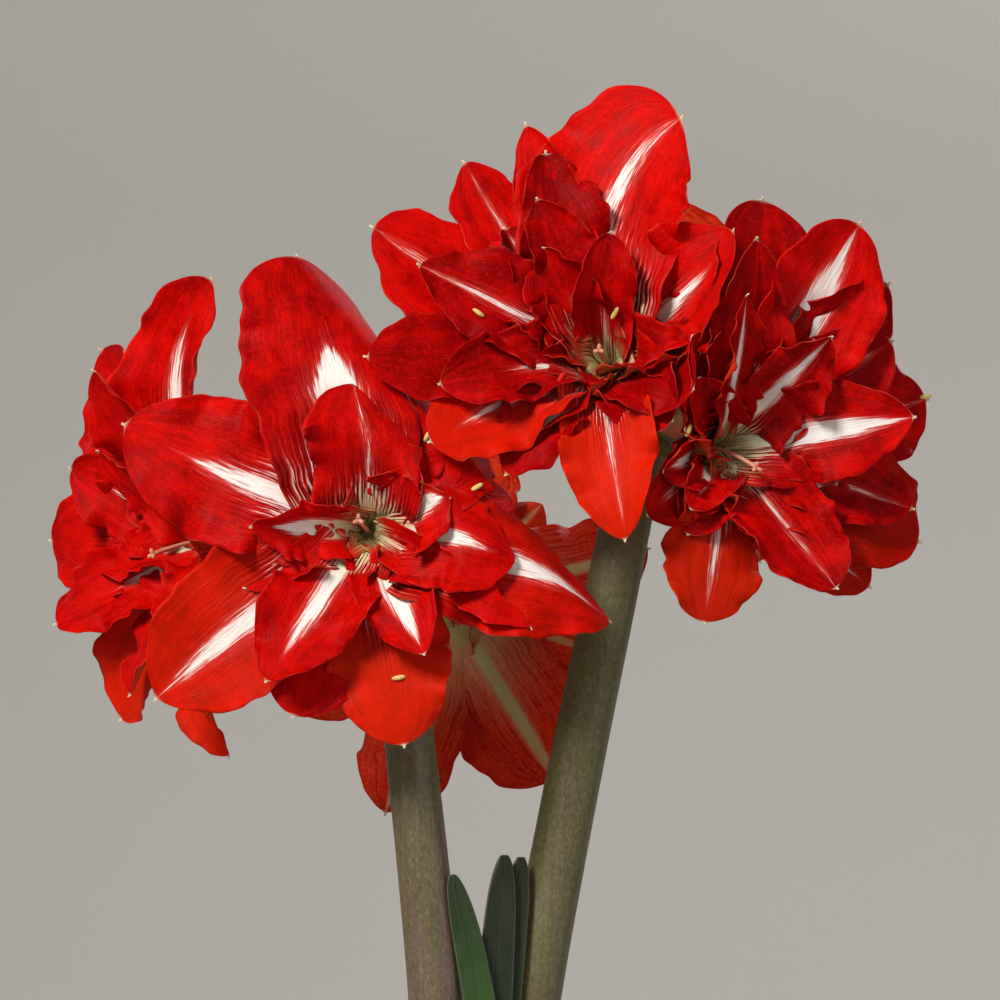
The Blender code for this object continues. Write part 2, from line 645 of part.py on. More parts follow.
def main():
    clear_scene()
    amaryllis = bpy.data.collections.new("potted_amaryllis")
    cutters = bpy.data.collections.new("cutters")
    for collection in (amaryllis, cutters):
        bpy.context.scene.collection.children.link(collection)

    make_pot(amaryllis)
    make_soil(amaryllis)
    make_bulb(amaryllis, pocket_cutters(cutters))

    stalk_green = material("stalk_green", GREEN_STALK, 0.45)
    left = [name for name, bloom in BLOOMS.items() if bloom[2] == "left"]
    right = [name for name, bloom in BLOOMS.items() if bloom[2] == "right"]
    make_stalk("stalk_left", LEFT_STALK, STALK_RADII_LEFT, left, amaryllis, stalk_green)
    make_stalk("stalk_right", RIGHT_STALK, STALK_RADII_RIGHT, right, amaryllis, stalk_green)

    leaf_green = material("leaf_green", GREEN_LEAF, 0.4)
    for name in LEAVES:
        make_leaf(name, amaryllis, leaf_green)

    petal_red = material("petal_red", PETAL_RED, 0.5)
    for name, bloom in BLOOMS.items():
        make_bloom(name, bloom[3], amaryllis, petal_red)


main()
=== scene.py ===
# %% [markdown]
# A potted double amaryllis. One bulb stands half buried in a pot, and from its neck rise two leafless
# flower stalks, called scapes, and three young leaves. Each scape carries three double blooms. The packed
# CAD model gives the size and place of every part, and this lesson dresses it: each CAD node is replaced by
# a finely shaped surface in the same place, with a finish worked out from noise and from the surface itself.

# %% Load the frame
from collections import namedtuple

import bpy
import numpy as np
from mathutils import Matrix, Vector


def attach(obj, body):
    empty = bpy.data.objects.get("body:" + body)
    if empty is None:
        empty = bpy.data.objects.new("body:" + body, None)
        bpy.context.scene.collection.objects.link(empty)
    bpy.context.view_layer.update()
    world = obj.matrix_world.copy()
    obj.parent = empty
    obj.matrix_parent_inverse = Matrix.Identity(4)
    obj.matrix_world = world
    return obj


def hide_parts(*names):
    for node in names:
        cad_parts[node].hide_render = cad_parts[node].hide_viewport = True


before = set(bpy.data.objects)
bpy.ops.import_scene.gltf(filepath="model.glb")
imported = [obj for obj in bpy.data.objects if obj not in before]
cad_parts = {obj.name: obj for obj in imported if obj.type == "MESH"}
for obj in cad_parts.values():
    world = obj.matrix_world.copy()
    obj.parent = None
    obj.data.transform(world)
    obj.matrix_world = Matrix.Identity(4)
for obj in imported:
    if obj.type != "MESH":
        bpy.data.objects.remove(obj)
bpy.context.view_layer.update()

# %% [markdown]
# Lengths in this lesson are in millimetres, because a petal is easier to picture as 70 wide than as 0.07.
# They are turned into metres when a mesh is made. A few small functions are used everywhere: a unit vector,
# an easing curve that starts and ends flat, and a grid of the two numbers u and v that every surface is
# drawn on. They work on whole arrays, because a loop over a hundred thousand points would take minutes.

# %% Small helpers
MM = 0.001


def unit(vector):
    """The vector divided by its own length."""
    vector = np.asarray(vector, float)
    return vector / np.linalg.norm(vector, axis=-1, keepdims=True)


def smooth(x):
    """Three x squared minus two x cubed, held at 0 and 1 outside that range."""
    x = np.clip(x, 0.0, 1.0)
    return x * x * (3.0 - 2.0 * x)


def spread_grid(columns, rows, tip_power=1.0):
    """u from -1 to 1 in columns, v from 0 to 1 in rows; a tip_power over 1 packs the rows towards v = 1."""
    u = np.linspace(-1.0, 1.0, columns + 1)
    v = 1.0 - (1.0 - np.linspace(0.0, 1.0, rows + 1)) ** tip_power
    return np.meshgrid(u, v)


print("easing curve at a quarter, a half and three quarters:", smooth((0.25, 0.5, 0.75)))

# %% [markdown]
# The camera looks straight and level at the flower heads, as in the photograph, and the pot stands below the
# picture's lower edge. A short lens close to the plant would make the front bloom bulge. A long lens one and
# a half metres away keeps the blooms at their true sizes, so that is the way taken here.

# %% Camera
VIEW_WIDTH = 400.0
VIEW_MIDDLE = Vector((8.8, 0.0, 497.0)) * MM
VIEW_DISTANCE = 1.5
SENSOR = 36.0

camera_data = bpy.data.cameras.new("camera")
camera_data.sensor_width = SENSOR
camera_data.lens = SENSOR * VIEW_DISTANCE / (VIEW_WIDTH * MM)
camera = bpy.data.objects.new("camera", camera_data)
camera.location = VIEW_MIDDLE - Vector((0.0, VIEW_DISTANCE, 0.0))
camera.rotation_euler = (np.pi / 2, 0.0, 0.0)
bpy.context.scene.collection.objects.link(camera)
bpy.context.scene.camera = camera
print("camera lens in mm:", round(camera_data.lens, 1))

# %% [markdown]
# The plant is lit as by a window high on the left: bright upper petals, soft shadows under them, and deep
# gaps between. A sun lamp would draw every shadow with a hard edge. Square area lights draw soft ones, so a
# half-metre key light stands for the window, a large dim one fills the right side, and a third from behind
# shines through the thin petals. Each row gives a light's place and side in metres, its power in watts and
# its colour. The Standard view keeps the reds as strong as they are mixed.

# %% Lights
LIGHTS = {
    "key_light": ((-0.85, -1.35, 1.50), 0.50, 40.0, (1.0, 0.98, 0.95)),
    "fill_light": ((1.5, -1.5, 0.8), 1.4, 8.0, (0.97, 0.98, 1.0)),
    "back_light": ((0.5, 0.95, 1.2), 0.9, 11.0, (1.0, 1.0, 1.0)),
}
ROOM_GREY, ROOM_STRENGTH = (0.9, 0.9, 0.9, 1.0), 0.24


def area_light(name, place, size, power, colour):
    """A square soft light at a place in metres, turned towards the flower heads."""
    data = bpy.data.lights.new(name, "AREA")
    data.size, data.energy, data.color = size, power, colour
    light = bpy.data.objects.new(name, data)
    light.location = place
    towards = VIEW_MIDDLE - Vector(place)
    light.rotation_mode = "QUATERNION"
    light.rotation_quaternion = towards.to_track_quat("-Z", "Y")
    bpy.context.scene.collection.objects.link(light)


for light_name, light_settings in LIGHTS.items():
    area_light(light_name, *light_settings)

room = bpy.data.worlds.new("room")
bpy.context.scene.world = room
room.use_nodes = True
room.node_tree.nodes["Background"].inputs["Color"].default_value = ROOM_GREY
room.node_tree.nodes["Background"].inputs["Strength"].default_value = ROOM_STRENGTH
bpy.context.scene.view_settings.view_transform = "Standard"
print("lights:", ", ".join(LIGHTS))

# %% [markdown]
# Every finish is a small network of shader nodes. Wiring them one by one is long to read, so these helpers
# say the same in words: add a node, mix two colours, stretch noise over a surface, turn a number into a
# mask. Patterns read the object's own coordinates, or values that the mesh carries at its points, because
# both stay on the plant when it is moved.

# %% Helpers for finishes


class Finish:
    """A material with its node tree, its Principled shader and short ways to add nodes to it."""

    def __init__(self, name):
        self.material = bpy.data.materials.new(name)
        self.material.use_nodes = True
        self.tree = self.material.node_tree
        self.shader = self.tree.nodes["Principled BSDF"]

    def put(self, socket, value):
        """Links a value that is a socket, and sets one that is a plain number or colour."""
        if isinstance(value, bpy.types.NodeSocket):
            self.tree.links.new(value, socket)
        elif isinstance(value, tuple) and len(value) == 3 and socket.type == "RGBA":
            socket.default_value = (*value, 1.0)
        else:
            socket.default_value = value

    def add(self, kind, inputs=(), **settings):
        """A new node of a kind, with its settings and inputs."""
        node = self.tree.nodes.new("ShaderNode" + kind)
        for key, value in settings.items():
            setattr(node, key, value)
        for key, value in dict(inputs).items():
            self.put(node.inputs[key], value)
        return node

    def calc(self, operation, a, b=0.0, clamp=False):
        """One sum on one or two values."""
        return self.add("Math", {0: a, 1: b}, operation=operation, use_clamp=clamp).outputs[0]

    def plus(self, a, b):
        """a + b."""
        return self.calc("ADD", a, b)

    def minus(self, a, b, clamp=False):
        """a - b, held between 0 and 1 when it is clamped."""
        return self.calc("SUBTRACT", a, b, clamp)

    def times(self, a, b):
        """a times b."""
        return self.calc("MULTIPLY", a, b)

    def mask(self, value, low, high, bottom=0.0, top=1.0):
        """bottom where the value is under low, top where it is over high, and a soft step between."""
        inputs = {"Value": value, "From Min": low, "From Max": high, "To Min": bottom, "To Max": top}
        return self.add("MapRange", inputs, interpolation_type="SMOOTHSTEP").outputs[0]

    def mix(self, share, a, b):
        """Colour a where share is 0 and colour b where it is 1."""
        node = self.add("Mix", {0: share}, data_type="RGBA")
        self.put(node.inputs[6], a)
        self.put(node.inputs[7], b)
        return node.outputs[2]

    def value(self, name):
        """A number that the mesh carries at its points."""
        return self.add("Attribute", attribute_name=name).outputs["Fac"]

    def vector(self, x, y, z):
        """Three numbers as one vector."""
        return self.add("CombineXYZ", {0: x, 1: y, 2: z}).outputs[0]

    def place(self, scale=(1.0, 1.0, 1.0)):
        """The object's own coordinates, in metres, stretched by a scale."""
        coordinates = self.add("TexCoord").outputs["Object"]
        return self.add("Mapping", {"Vector": coordinates, "Scale": scale}).outputs[0]

    def noise(self, vector, scale, detail=2.0, roughness=0.5):
        """Soft noise between 0 and 1."""
        inputs = {"Vector": vector, "Scale": scale, "Detail": detail, "Roughness": roughness}
        return self.add("TexNoise", inputs).outputs["Fac"]

    def bump(self, height, distance, strength=1.0, under=None):
        """A normal that follows a height; distance is in metres."""
        inputs = {"Height": height, "Distance": distance, "Strength": strength}
        if under is not None:
            inputs["Normal"] = under
        return self.add("Bump", inputs).outputs[0]

    def set(self, **inputs):
        """Sets or links sockets of the Principled shader, named with underscores for spaces."""
        for key, value in inputs.items():
            self.put(self.shader.inputs[key.replace("_", " ")], value)


print("ways to build a finish:", ", ".join(key for key in vars(Finish) if not key.startswith("_")))

# %% [markdown]
# Floor and backdrop are one sheet of painted paper, swept up in a quarter circle, so the picture has no
# horizon. A plane with its edge bevelled would do, but the profile is only a few points, so they are worked
# out here. The paint is clear on its back face, so a camera behind the wall still sees the plant.

# %% Floor and backdrop
SWEEP_FRONT, SWEEP_WALL, SWEEP_RADIUS = -4.0, 1.1, 0.7
SWEEP_HALF_WIDTH, SWEEP_HEIGHT = 4.0, 3.4
BACKDROP_GREY = (0.40, 0.385, 0.355)


def backdrop_finish():
    """Grey paint in front, and nothing to see from behind."""
    paint = Finish("backdrop_paint")
    paint.set(Base_Color=BACKDROP_GREY, Roughness=0.9)
    behind = paint.add("NewGeometry").outputs["Backfacing"]
    clear = paint.add("BsdfTransparent").outputs[0]
    both = paint.add("MixShader", {0: behind, 1: paint.shader.outputs[0], 2: clear}).outputs[0]
    paint.put(paint.tree.nodes["Material Output"].inputs["Surface"], both)
    return paint.material


def stage_sweep():
    """A profile of floor, quarter circle and wall, in metres, drawn out sideways to two equal rows."""
    angle = np.linspace(0.0, np.pi / 2, 13)
    bend_y = SWEEP_WALL - SWEEP_RADIUS + SWEEP_RADIUS * np.sin(angle)
    bend_z = SWEEP_RADIUS - SWEEP_RADIUS * np.cos(angle)
    y = np.concatenate([[SWEEP_FRONT], bend_y, [SWEEP_WALL]])
    z = np.concatenate([[0.0], bend_z, [SWEEP_HEIGHT]])
    left = np.stack([np.full_like(y, -SWEEP_HALF_WIDTH), y, z], axis=1)
    right = left * (-1.0, 1.0, 1.0)
    first, count = np.arange(len(y) - 1), len(y)
    faces = np.stack([first, first + count, first + count + 1, first + 1], axis=1)
    mesh = bpy.data.meshes.new("stage_sweep")
    mesh.from_pydata(np.vstack([left, right]).tolist(), [], faces.tolist())
    mesh.shade_smooth()
    mesh.materials.append(backdrop_finish())
    sweep = bpy.data.objects.new("stage_sweep", mesh)
    bpy.context.scene.collection.objects.link(sweep)
    return sweep


print("stage:", len(stage_sweep().data.polygons), "faces")

# %% [markdown]
# A petal, a leaf or a papery scale is a thin sheet. A flat surface with a Solidify modifier would get a
# thickness, but an even one. Here the sheet's middle is a grid of points, and its two faces lie half a
# thickness to each side of it along the surface's own normal, so a petal can be thick at its foot and thin
# at its edge. A rim joins the faces, so every sheet is a closed body.

# %% Closed sheets


def grid_faces(rows, columns, first=0):
    """Quads of a grid of rows by columns points, running up the rows first."""
    i, j = np.meshgrid(np.arange(rows - 1), np.arange(columns - 1), indexing="ij")
    corner = first + (i * columns + j).ravel()
    return np.stack([corner, corner + columns, corner + columns + 1, corner + 1], axis=1)


def surface_normal(points):
    """Unit normal of a grid of points: the step along the rows crossed with the step along the columns."""
    along = np.gradient(points, axis=0)
    across = np.gradient(points, axis=1)
    return unit(np.cross(along, across) + 1e-12)


def sheet(points, thickness, keel=0.0, **values):
    """A closed sheet: both faces of a grid of points, a keel on its back, and the rim between them."""
    rows, columns = points.shape[:2]
    normal = surface_normal(points)
    thickness = np.broadcast_to(thickness, points.shape[:2])[..., None]
    keel = np.broadcast_to(keel, points.shape[:2])[..., None]
    front = points + normal * thickness / 2
    back = points - normal * (thickness / 2 + keel)
    count = rows * columns
    index = np.arange(count).reshape(rows, columns)
    loop = np.concatenate([index[0, :-1], index[:-1, -1], index[-1, :0:-1], index[:0:-1, 0]])
    after = np.roll(loop, -1)
    rim = np.stack([loop, after, after + count, loop + count], axis=1)
    faces = [grid_faces(rows, columns), grid_faces(rows, columns)[:, ::-1] + count, rim]
    given = {key: np.tile(np.broadcast_to(value, (rows, columns)).ravel(), 2)
             for key, value in values.items()}
    given["back"] = np.repeat([0.0, 1.0], count)
    return np.vstack([front.reshape(-1, 3), back.reshape(-1, 3)]), faces, given


sample = np.stack([*spread_grid(2, 1), np.zeros((2, 3))], axis=-1)
print("a sheet on two by three points closes with", sum(map(len, sheet(sample, 0.5)[1])), "faces")

# %% [markdown]
# Stems, styles and anthers are tubes, and the pot, the bulb's core and the soil are turned shapes. A curve
# with a bevel, or a profile with a Screw modifier, would draw them, but neither carries the numbers that the
# finishes read. Both are rings of points here, closed on themselves, with a middle point at each end.

# %% Tubes and turned shapes


def closed_rings(rings, **values):
    """Rings of points, each closed on itself, with a middle point that closes each end."""
    count, sides = rings.shape[:2]
    i, j = np.meshgrid(np.arange(count - 1), np.arange(sides), indexing="ij")
    a, b = (i * sides + j).ravel(), (i * sides + (j + 1) % sides).ravel()
    walls = np.stack([a, b, b + sides, a + sides], axis=1)
    j = np.arange(sides)
    low, high, last = count * sides, count * sides + 1, (count - 1) * sides
    foot = np.stack([(j + 1) % sides, j, np.full(sides, low)], axis=1)
    head = np.stack([last + j, last + (j + 1) % sides, np.full(sides, high)], axis=1)
    points = np.vstack([rings.reshape(-1, 3), rings[0].mean(axis=0), rings[-1].mean(axis=0)])
    given = {}
    for key, value in values.items():
        value = np.broadcast_to(value, (count, sides))
        given[key] = np.concatenate([value.ravel(), [value[0].mean(), value[-1].mean()]])
    return points, [walls, foot, head], given


def tube(path, radii, sides=24, up=(0.0, 1.0, 0.0), flute=0.0, flutes=0, **values):
    """Rings round a path. Each ring lies square to the path, and flutes wave its radius round the ring."""
    path = np.asarray(path, float)
    along = unit(np.gradient(path, axis=0))
    side = unit(np.cross(up, along))
    other = np.cross(along, side)
    turn = np.linspace(0.0, 2 * np.pi, sides, endpoint=False)
    ring = np.cos(turn)[None, :, None] * side[:, None] + np.sin(turn)[None, :, None] * other[:, None]
    radius = np.asarray(radii, float)[:, None] * (1.0 + flute * np.cos(flutes * turn))[None]
    return closed_rings(path[:, None] + ring * radius[..., None], **values)


def turned(profile, sides=96, **values):
    """A profile of radius and height, from the foot up, turned about Z."""
    profile = np.asarray(profile, float)
    turn = np.linspace(0.0, 2 * np.pi, sides, endpoint=False)
    radius, height = profile[:, :1], np.repeat(profile[:, 1:], sides, axis=1)
    return closed_rings(np.stack([radius * np.cos(turn), radius * np.sin(turn), height], axis=2), **values)


tube_sample = tube(np.outer(np.linspace(0.0, 10.0, 5), (0.0, 0.0, 1.0)), np.ones(5), 8)
print("a tube of five rings of eight has", len(tube_sample[0]), "points")

# %% [markdown]
# A bloom grew as one body, so all its petals become one mesh. Blender could join many objects, but putting
# the arrays in one after another is faster, and each part keeps the numbers that its finish reads. The
# finished piece rides on the packed frame and takes the place of its CAD node.

# %% From parts to a piece
def write_mesh(name, points, faces):
    """A mesh from points in millimetres and groups of faces, each group with its own number of corners."""
    sizes = np.concatenate([np.full(len(group), group.shape[1]) for group in faces])
    corners = np.concatenate([group.ravel() for group in faces])
    mesh = bpy.data.meshes.new(name)
    mesh.vertices.add(len(points))
    mesh.vertices.foreach_set("co", (points * MM).ravel())
    mesh.loops.add(len(corners))
    mesh.loops.foreach_set("vertex_index", corners)
    mesh.polygons.add(len(sizes))
    mesh.polygons.foreach_set("loop_start", np.cumsum(sizes) - sizes)
    mesh.update(calc_edges=True)
    mesh.validate()
    print(f"{name}: {len(points)} points, {int(np.sum(sizes - 2))} triangles")
    return mesh


def make_piece(name, parts, finish, node, body="root"):
    """Joins parts in one mesh, carries their values, hangs the piece on a body and hides the CAD node it
    stands for.
    """
    offsets = np.cumsum([0] + [len(points) for points, _, _ in parts])
    points = np.vstack([points for points, _, _ in parts])
    faces = [group + offset for (_, groups, _), offset in zip(parts, offsets) for group in groups]
    mesh = write_mesh(name, points, faces)
    for key in sorted({key for _, _, given in parts for key in given}):
        value = np.concatenate([given.get(key, np.zeros(len(own))) for own, _, given in parts])
        mesh.attributes.new(key, "FLOAT", "POINT").data.foreach_set("value", value)
    mesh.shade_smooth()
    mesh.materials.append(finish)
    piece = bpy.data.objects.new(name, mesh)
    bpy.context.scene.collection.objects.link(piece)
    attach(piece, body)
    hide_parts(node)
    return piece


# %% [markdown]
# A double amaryllis has six outer tepals and, in place of stamens, rings of petaloids that get smaller and
# more curled towards the throat. They could be scattered by chance round the axis, but then no bloom would
# be this one. So each petal has a row, laid out after the photograph. A row gives the kind, the
# angle round the flower's axis seen from in front (0 is sideways, 90 is up), the reach and width in
# millimetres, and in degrees how far it opens off the axis, how much it curls back, and the cup across it.
# Then come its sideways sway and its twist, also in degrees, the share of its length at which its white
# flash ends, that flash's half-width as a share of the petal's, and how pointed the tip is.
#
# The front bloom looks at the camera. Its broad upper tepal, two on the left and a long one on the right
# make its outline, and the second ring and the curls crowd round a throat that lies open.

# %% Petals of the front bloom
Petal = namedtuple("Petal", "kind angle reach width opening curl cup sway twist flash_end flash_width point")

FRONT_PETALS = (
    ("tepal", 100, 115, 92, 84, 4, 12, 0, 0, 0.66, 0.44, -0.5),
    ("tepal", 47, 86, 62, 82, 16, 14, 0, 0, 0.70, 0.16, 0.5),
    ("tepal", 159, 102, 70, 84, 10, -8, -6, 0, 0.72, 0.20, 0.3),
    ("tepal", 218, 105, 72, 84, 6, 16, 4, 0, 0.97, 0.20, 0.6),
    ("tepal", 281, 86, 58, 80, 20, -14, 0, 0, 0.40, 0.12, 0.2),
    ("tepal", 348, 112, 74, 84, 4, 14, 0, 0, 0.94, 0.20, 0.7),
    ("petal", 85, 64, 62, 52, 12, 18, 0, 0, 0.97, 0.04, 0.5),
    ("petal", 22, 43, 50, 44, -6, 52, 0, 8, 0.84, 0.30, 0.5),
    ("petal", 354, 67, 60, 62, 10, 20, 0, -12, 0.80, 0.22, 0.4),
    ("petal", 297, 56, 38, 48, 16, 18, 0, 0, 0.94, 0.34, 0.5),
    ("petal", 240, 70, 54, 62, 8, 20, 0, 8, 0.84, 0.22, 0.6),
    ("petal", 22, 78, 40, 74, 10, 20, 0, 20, 0.50, 0.06, 0.3),
    ("petal", 250, 78, 60, 80, 6, -12, 0, 0, 0.40, 0.10, 0.1),
    ("petal", 62, 74, 44, 66, 20, 30, 0, 24, 0.60, 0.10, 0.3),
    ("curl", 180, 43, 32, 46, 46, 44, 0, -46, 0.85, 0.40, 0.4),
    ("curl", 40, 55, 28, 62, 30, 40, 0, 40, 0.40, 0.12, 0.2),
    ("curl", 332, 78, 28, 72, 10, 46, 0, 24, 0.50, 0.10, 0.6),
    ("curl", 277, 60, 40, 66, 30, -20, 0, 0, 0.40, 0.10, 0.2),
    ("curl", 207, 52, 28, 68, 30, 40, 0, 40, 0.50, 0.20, 0.6),
    ("curl", 130, 36, 30, 50, 34, 36, 0, 20, 0.70, 0.24, 0.3),
    ("curl", 268, 26, 18, 44, 20, 40, 0, 20, 0.95, 0.36, 0.5),
    ("curl", 330, 25, 18, 40, 20, 44, 0, 20, 0.95, 0.36, 0.4),
)
print("front bloom:", len(FRONT_PETALS), "petals")

# %% [markdown]
# The top bloom looks up and to the left. One great tepal sweeps over to the right, which its sway gives, and
# narrow ones stand or hang round a ring of short crowded petals. Rows with a short, narrow flash are the ones
# that look plain red in the photograph.

# %% Petals of the top bloom
TOP_PETALS = (
    ("tepal", 96, 100, 92, 74, 4, 20, -72, 0, 0.99, 0.14, -0.2),
    ("tepal", 26, 71, 62, 58, 14, 26, 24, 0, 0.74, 0.18, 0.5),
    ("tepal", 283, 82, 48, 84, 36, 12, 0, 0, 0.90, 0.07, 0.5),
    ("tepal", 161, 112, 62, 80, 8, 14, 0, 0, 0.99, 0.09, 0.4),
    ("tepal", 216, 84, 52, 84, 14, 12, 0, 0, 0.80, 0.16, 0.5),
    ("tepal", 133, 102, 52, 82, 6, 16, 0, 0, 0.96, 0.10, 0.5),
    ("petal", 111, 94, 38, 74, 0, 30, 0, 0, 0.30, 0.05, 0.8),
    ("petal", 115, 58, 48, 48, 6, 34, 0, 0, 0.30, 0.05, 0.8),
    ("petal", 108, 78, 48, 62, 20, 30, 0, 30, 0.30, 0.06, 0.2),
    ("petal", 131, 64, 46, 60, 24, 54, 0, 40, 0.96, 0.30, 0.3),
    ("petal", 163, 71, 54, 58, 8, 24, 0, 0, 0.99, 0.10, 0.7),
    ("petal", 192, 98, 54, 72, 10, 20, 0, 0, 0.60, 0.10, 0.5),
    ("petal", 332, 56, 50, 60, 30, 34, 0, 20, 0.50, 0.12, 0.3),
    ("petal", 240, 64, 46, 72, 20, 24, 0, 0, 0.80, 0.16, 0.4),
    ("petal", 206, 62, 42, 56, 20, 40, 0, -30, 0.60, 0.14, 0.3),
    ("curl", 245, 42, 42, 60, 6, 50, 0, 20, 0.98, 0.44, 0.5),
    ("curl", 298, 34, 36, 58, 20, 44, 0, -20, 0.60, 0.16, 0.4),
    ("curl", 122, 40, 44, 34, 30, 56, 0, -36, 0.60, 0.12, 0.2),
    ("curl", 80, 38, 40, 32, 40, 56, 0, 40, 0.50, 0.10, 0.2),
    ("curl", 164, 42, 40, 44, 30, 50, 0, 30, 0.70, 0.20, 0.3),
    ("curl", 214, 34, 30, 50, 60, 50, 0, -40, 0.60, 0.24, 0.3),
    ("curl", 350, 50, 36, 54, 40, 50, 0, -40, 0.50, 0.16, 0.3),
    ("petal", 318, 52, 46, 64, 40, 36, 0, 30, 0.50, 0.12, 0.2),
    ("petal", 2, 64, 50, 66, 30, 34, 0, -20, 0.50, 0.12, 0.3),
)
print("top bloom:", len(TOP_PETALS), "petals")

# %% [markdown]
# The right bloom turns away to the right, so its left petals are seen short and its right ones long. Some of
# its petals carry a white band from throat to tip.

# %% Petals of the right bloom
RIGHT_PETALS = (
    ("tepal", 60, 101, 66, 78, 10, 20, 0, 0, 0.97, 0.32, 0.1),
    ("tepal", 82, 98, 62, 80, 6, 16, 0, 0, 0.30, 0.10, -0.1),
    ("tepal", 44, 93, 56, 80, 10, 20, 0, 20, 0.98, 0.12, 0.4),
    ("tepal", 12, 92, 58, 78, 14, 18, 0, 0, 0.98, 0.10, 0.5),
    ("tepal", 335, 92, 58, 80, 30, 16, 0, 0, 0.70, 0.12, 0.5),
    ("tepal", 315, 84, 54, 82, 10, 16, 0, 0, 0.92, 0.22, 0.7),
    ("tepal", 259, 71, 50, 84, 14, -14, 0, 0, 0.86, 0.12, 0.0),
    ("petal", 92, 79, 48, 58, 8, 28, 0, 0, 0.30, 0.06, 0.8),
    ("petal", 57, 49, 46, 44, 8, 40, 0, 0, 0.99, 0.20, 0.7),
    ("petal", 32, 78, 52, 66, 10, 20, 0, 0, 0.90, 0.14, 0.4),
    ("petal", 9, 62, 54, 50, 8, 22, 0, 0, 0.99, 0.26, 0.6),
    ("petal", 341, 78, 44, 66, 8, 28, 0, 0, 0.99, 0.07, 0.6),
    ("petal", 299, 65, 52, 60, 8, 20, 0, 0, 0.97, 0.07, 0.2),
    ("petal", 150, 34, 34, 40, 30, 44, 0, 30, 0.60, 0.12, 0.3),
    ("petal", 240, 40, 36, 64, 30, 44, 0, 20, 0.60, 0.20, 0.3),
    ("petal", 214, 48, 42, 64, 20, 30, 0, 0, 0.80, 0.16, 0.3),
    ("curl", 107, 58, 26, 46, 8, 40, 0, 10, 0.99, 0.20, 0.8),
    ("curl", 290, 44, 42, 58, 40, 40, 0, -30, 0.80, 0.20, 0.2),
    ("curl", 228, 34, 32, 50, 30, 40, 0, 20, 0.80, 0.24, 0.3),
    ("curl", 130, 34, 34, 32, 40, 50, 0, -30, 0.50, 0.12, 0.3),
    ("curl", 168, 27, 28, 36, 40, 60, 0, 30, 0.60, 0.20, 0.3),
    ("curl", 196, 36, 34, 48, 30, 50, 0, -20, 0.90, 0.30, 0.3),
    ("petal", 125, 52, 44, 58, 20, 30, 0, 20, 0.60, 0.16, 0.3),
)
print("right bloom:", len(RIGHT_PETALS), "petals")

# %% [markdown]
# The left bloom is seen from its side. One tepal stands up and bends over, and a tangle of curls hides the
# throat.

# %% Petals of the left bloom
LEFT_PETALS = (
    ("tepal", 94, 108, 62, 76, 30, 34, -46, 24, 0.80, 0.20, 0.5),
    ("tepal", 124, 92, 66, 70, 0, 24, 0, 0, 0.50, 0.16, 0.4),
    ("tepal", 182, 88, 62, 74, 10, 20, 0, 0, 0.50, 0.16, 0.5),
    ("tepal", 238, 90, 62, 76, 14, 20, 0, 0, 0.60, 0.16, 0.5),
    ("tepal", 288, 92, 50, 80, 44, 24, 0, 0, 0.50, 0.16, 0.6),
    ("tepal", 0, 52, 44, 60, 50, 30, 0, 0, 0.50, 0.20, 0.4),
    ("petal", 100, 66, 48, 48, 6, 26, 0, 0, 0.70, 0.16, 0.5),
    ("petal", 156, 66, 50, 52, 10, 24, 0, 0, 0.70, 0.20, 0.4),
    ("petal", 214, 68, 48, 56, 10, 24, 0, 0, 0.60, 0.20, 0.5),
    ("petal", 262, 66, 48, 52, 16, 24, 0, 20, 0.60, 0.20, 0.4),
    ("petal", 318, 50, 38, 48, 30, 30, 0, 0, 0.60, 0.20, 0.4),
    ("curl", 60, 40, 32, 40, 40, 44, 0, 40, 0.50, 0.20, 0.4),
    ("curl", 130, 44, 32, 36, 30, 44, 0, -30, 0.50, 0.20, 0.4),
    ("curl", 200, 46, 32, 40, 30, 40, 0, 36, 0.50, 0.20, 0.4),
    ("curl", 290, 44, 32, 44, 36, 40, 0, -36, 0.50, 0.20, 0.4),
)
print("left bloom:", len(LEFT_PETALS), "petals")

# %% [markdown]
# Two blooms look away from the camera. Only the backs of their tepals show below and beside the others, so
# the rest of them follows the plain order of a double flower: six tepals, six petals, and a few curls.

# %% Petals of the two rear blooms
REAR_LEFT_PETALS = (
    ("tepal", 237, 88, 76, 80, 10, 18, 0, 0, 0.62, 0.26, 0.0),
    ("tepal", 283, 94, 54, 82, 16, 20, 0, 0, 0.62, 0.26, 0.5),
    ("tepal", 328, 82, 58, 80, 14, 16, 0, 0, 0.62, 0.26, 0.5),
    ("tepal", 28, 86, 60, 80, 18, 16, 0, 0, 0.62, 0.26, 0.5),
    ("tepal", 90, 88, 62, 78, 12, 18, 0, 0, 0.62, 0.26, 0.5),
    ("tepal", 165, 88, 60, 80, 16, 18, 0, 0, 0.62, 0.26, 0.5),
    ("petal", 58, 64, 46, 58, 12, 24, 0, 0, 0.72, 0.20, 0.5),
    ("petal", 196, 66, 46, 58, 12, 24, 0, 0, 0.72, 0.20, 0.5),
    ("petal", 305, 64, 46, 58, 12, 24, 0, 0, 0.72, 0.20, 0.5),
    ("petal", 126, 60, 44, 52, 12, 26, 0, 14, 0.66, 0.24, 0.4),
    ("petal", 250, 58, 44, 50, 14, 26, 0, -14, 0.66, 0.24, 0.4),
    ("petal", 0, 58, 42, 48, 14, 28, 0, 16, 0.66, 0.24, 0.4),
    ("curl", 90, 42, 32, 40, 34, 44, 0, 30, 0.70, 0.26, 0.4),
    ("curl", 170, 40, 30, 38, 40, 44, 0, -34, 0.70, 0.26, 0.4),
    ("curl", 275, 42, 32, 42, 30, 40, 0, 36, 0.70, 0.26, 0.4),
    ("curl", 340, 40, 30, 36, 36, 44, 0, -30, 0.70, 0.26, 0.4),
)
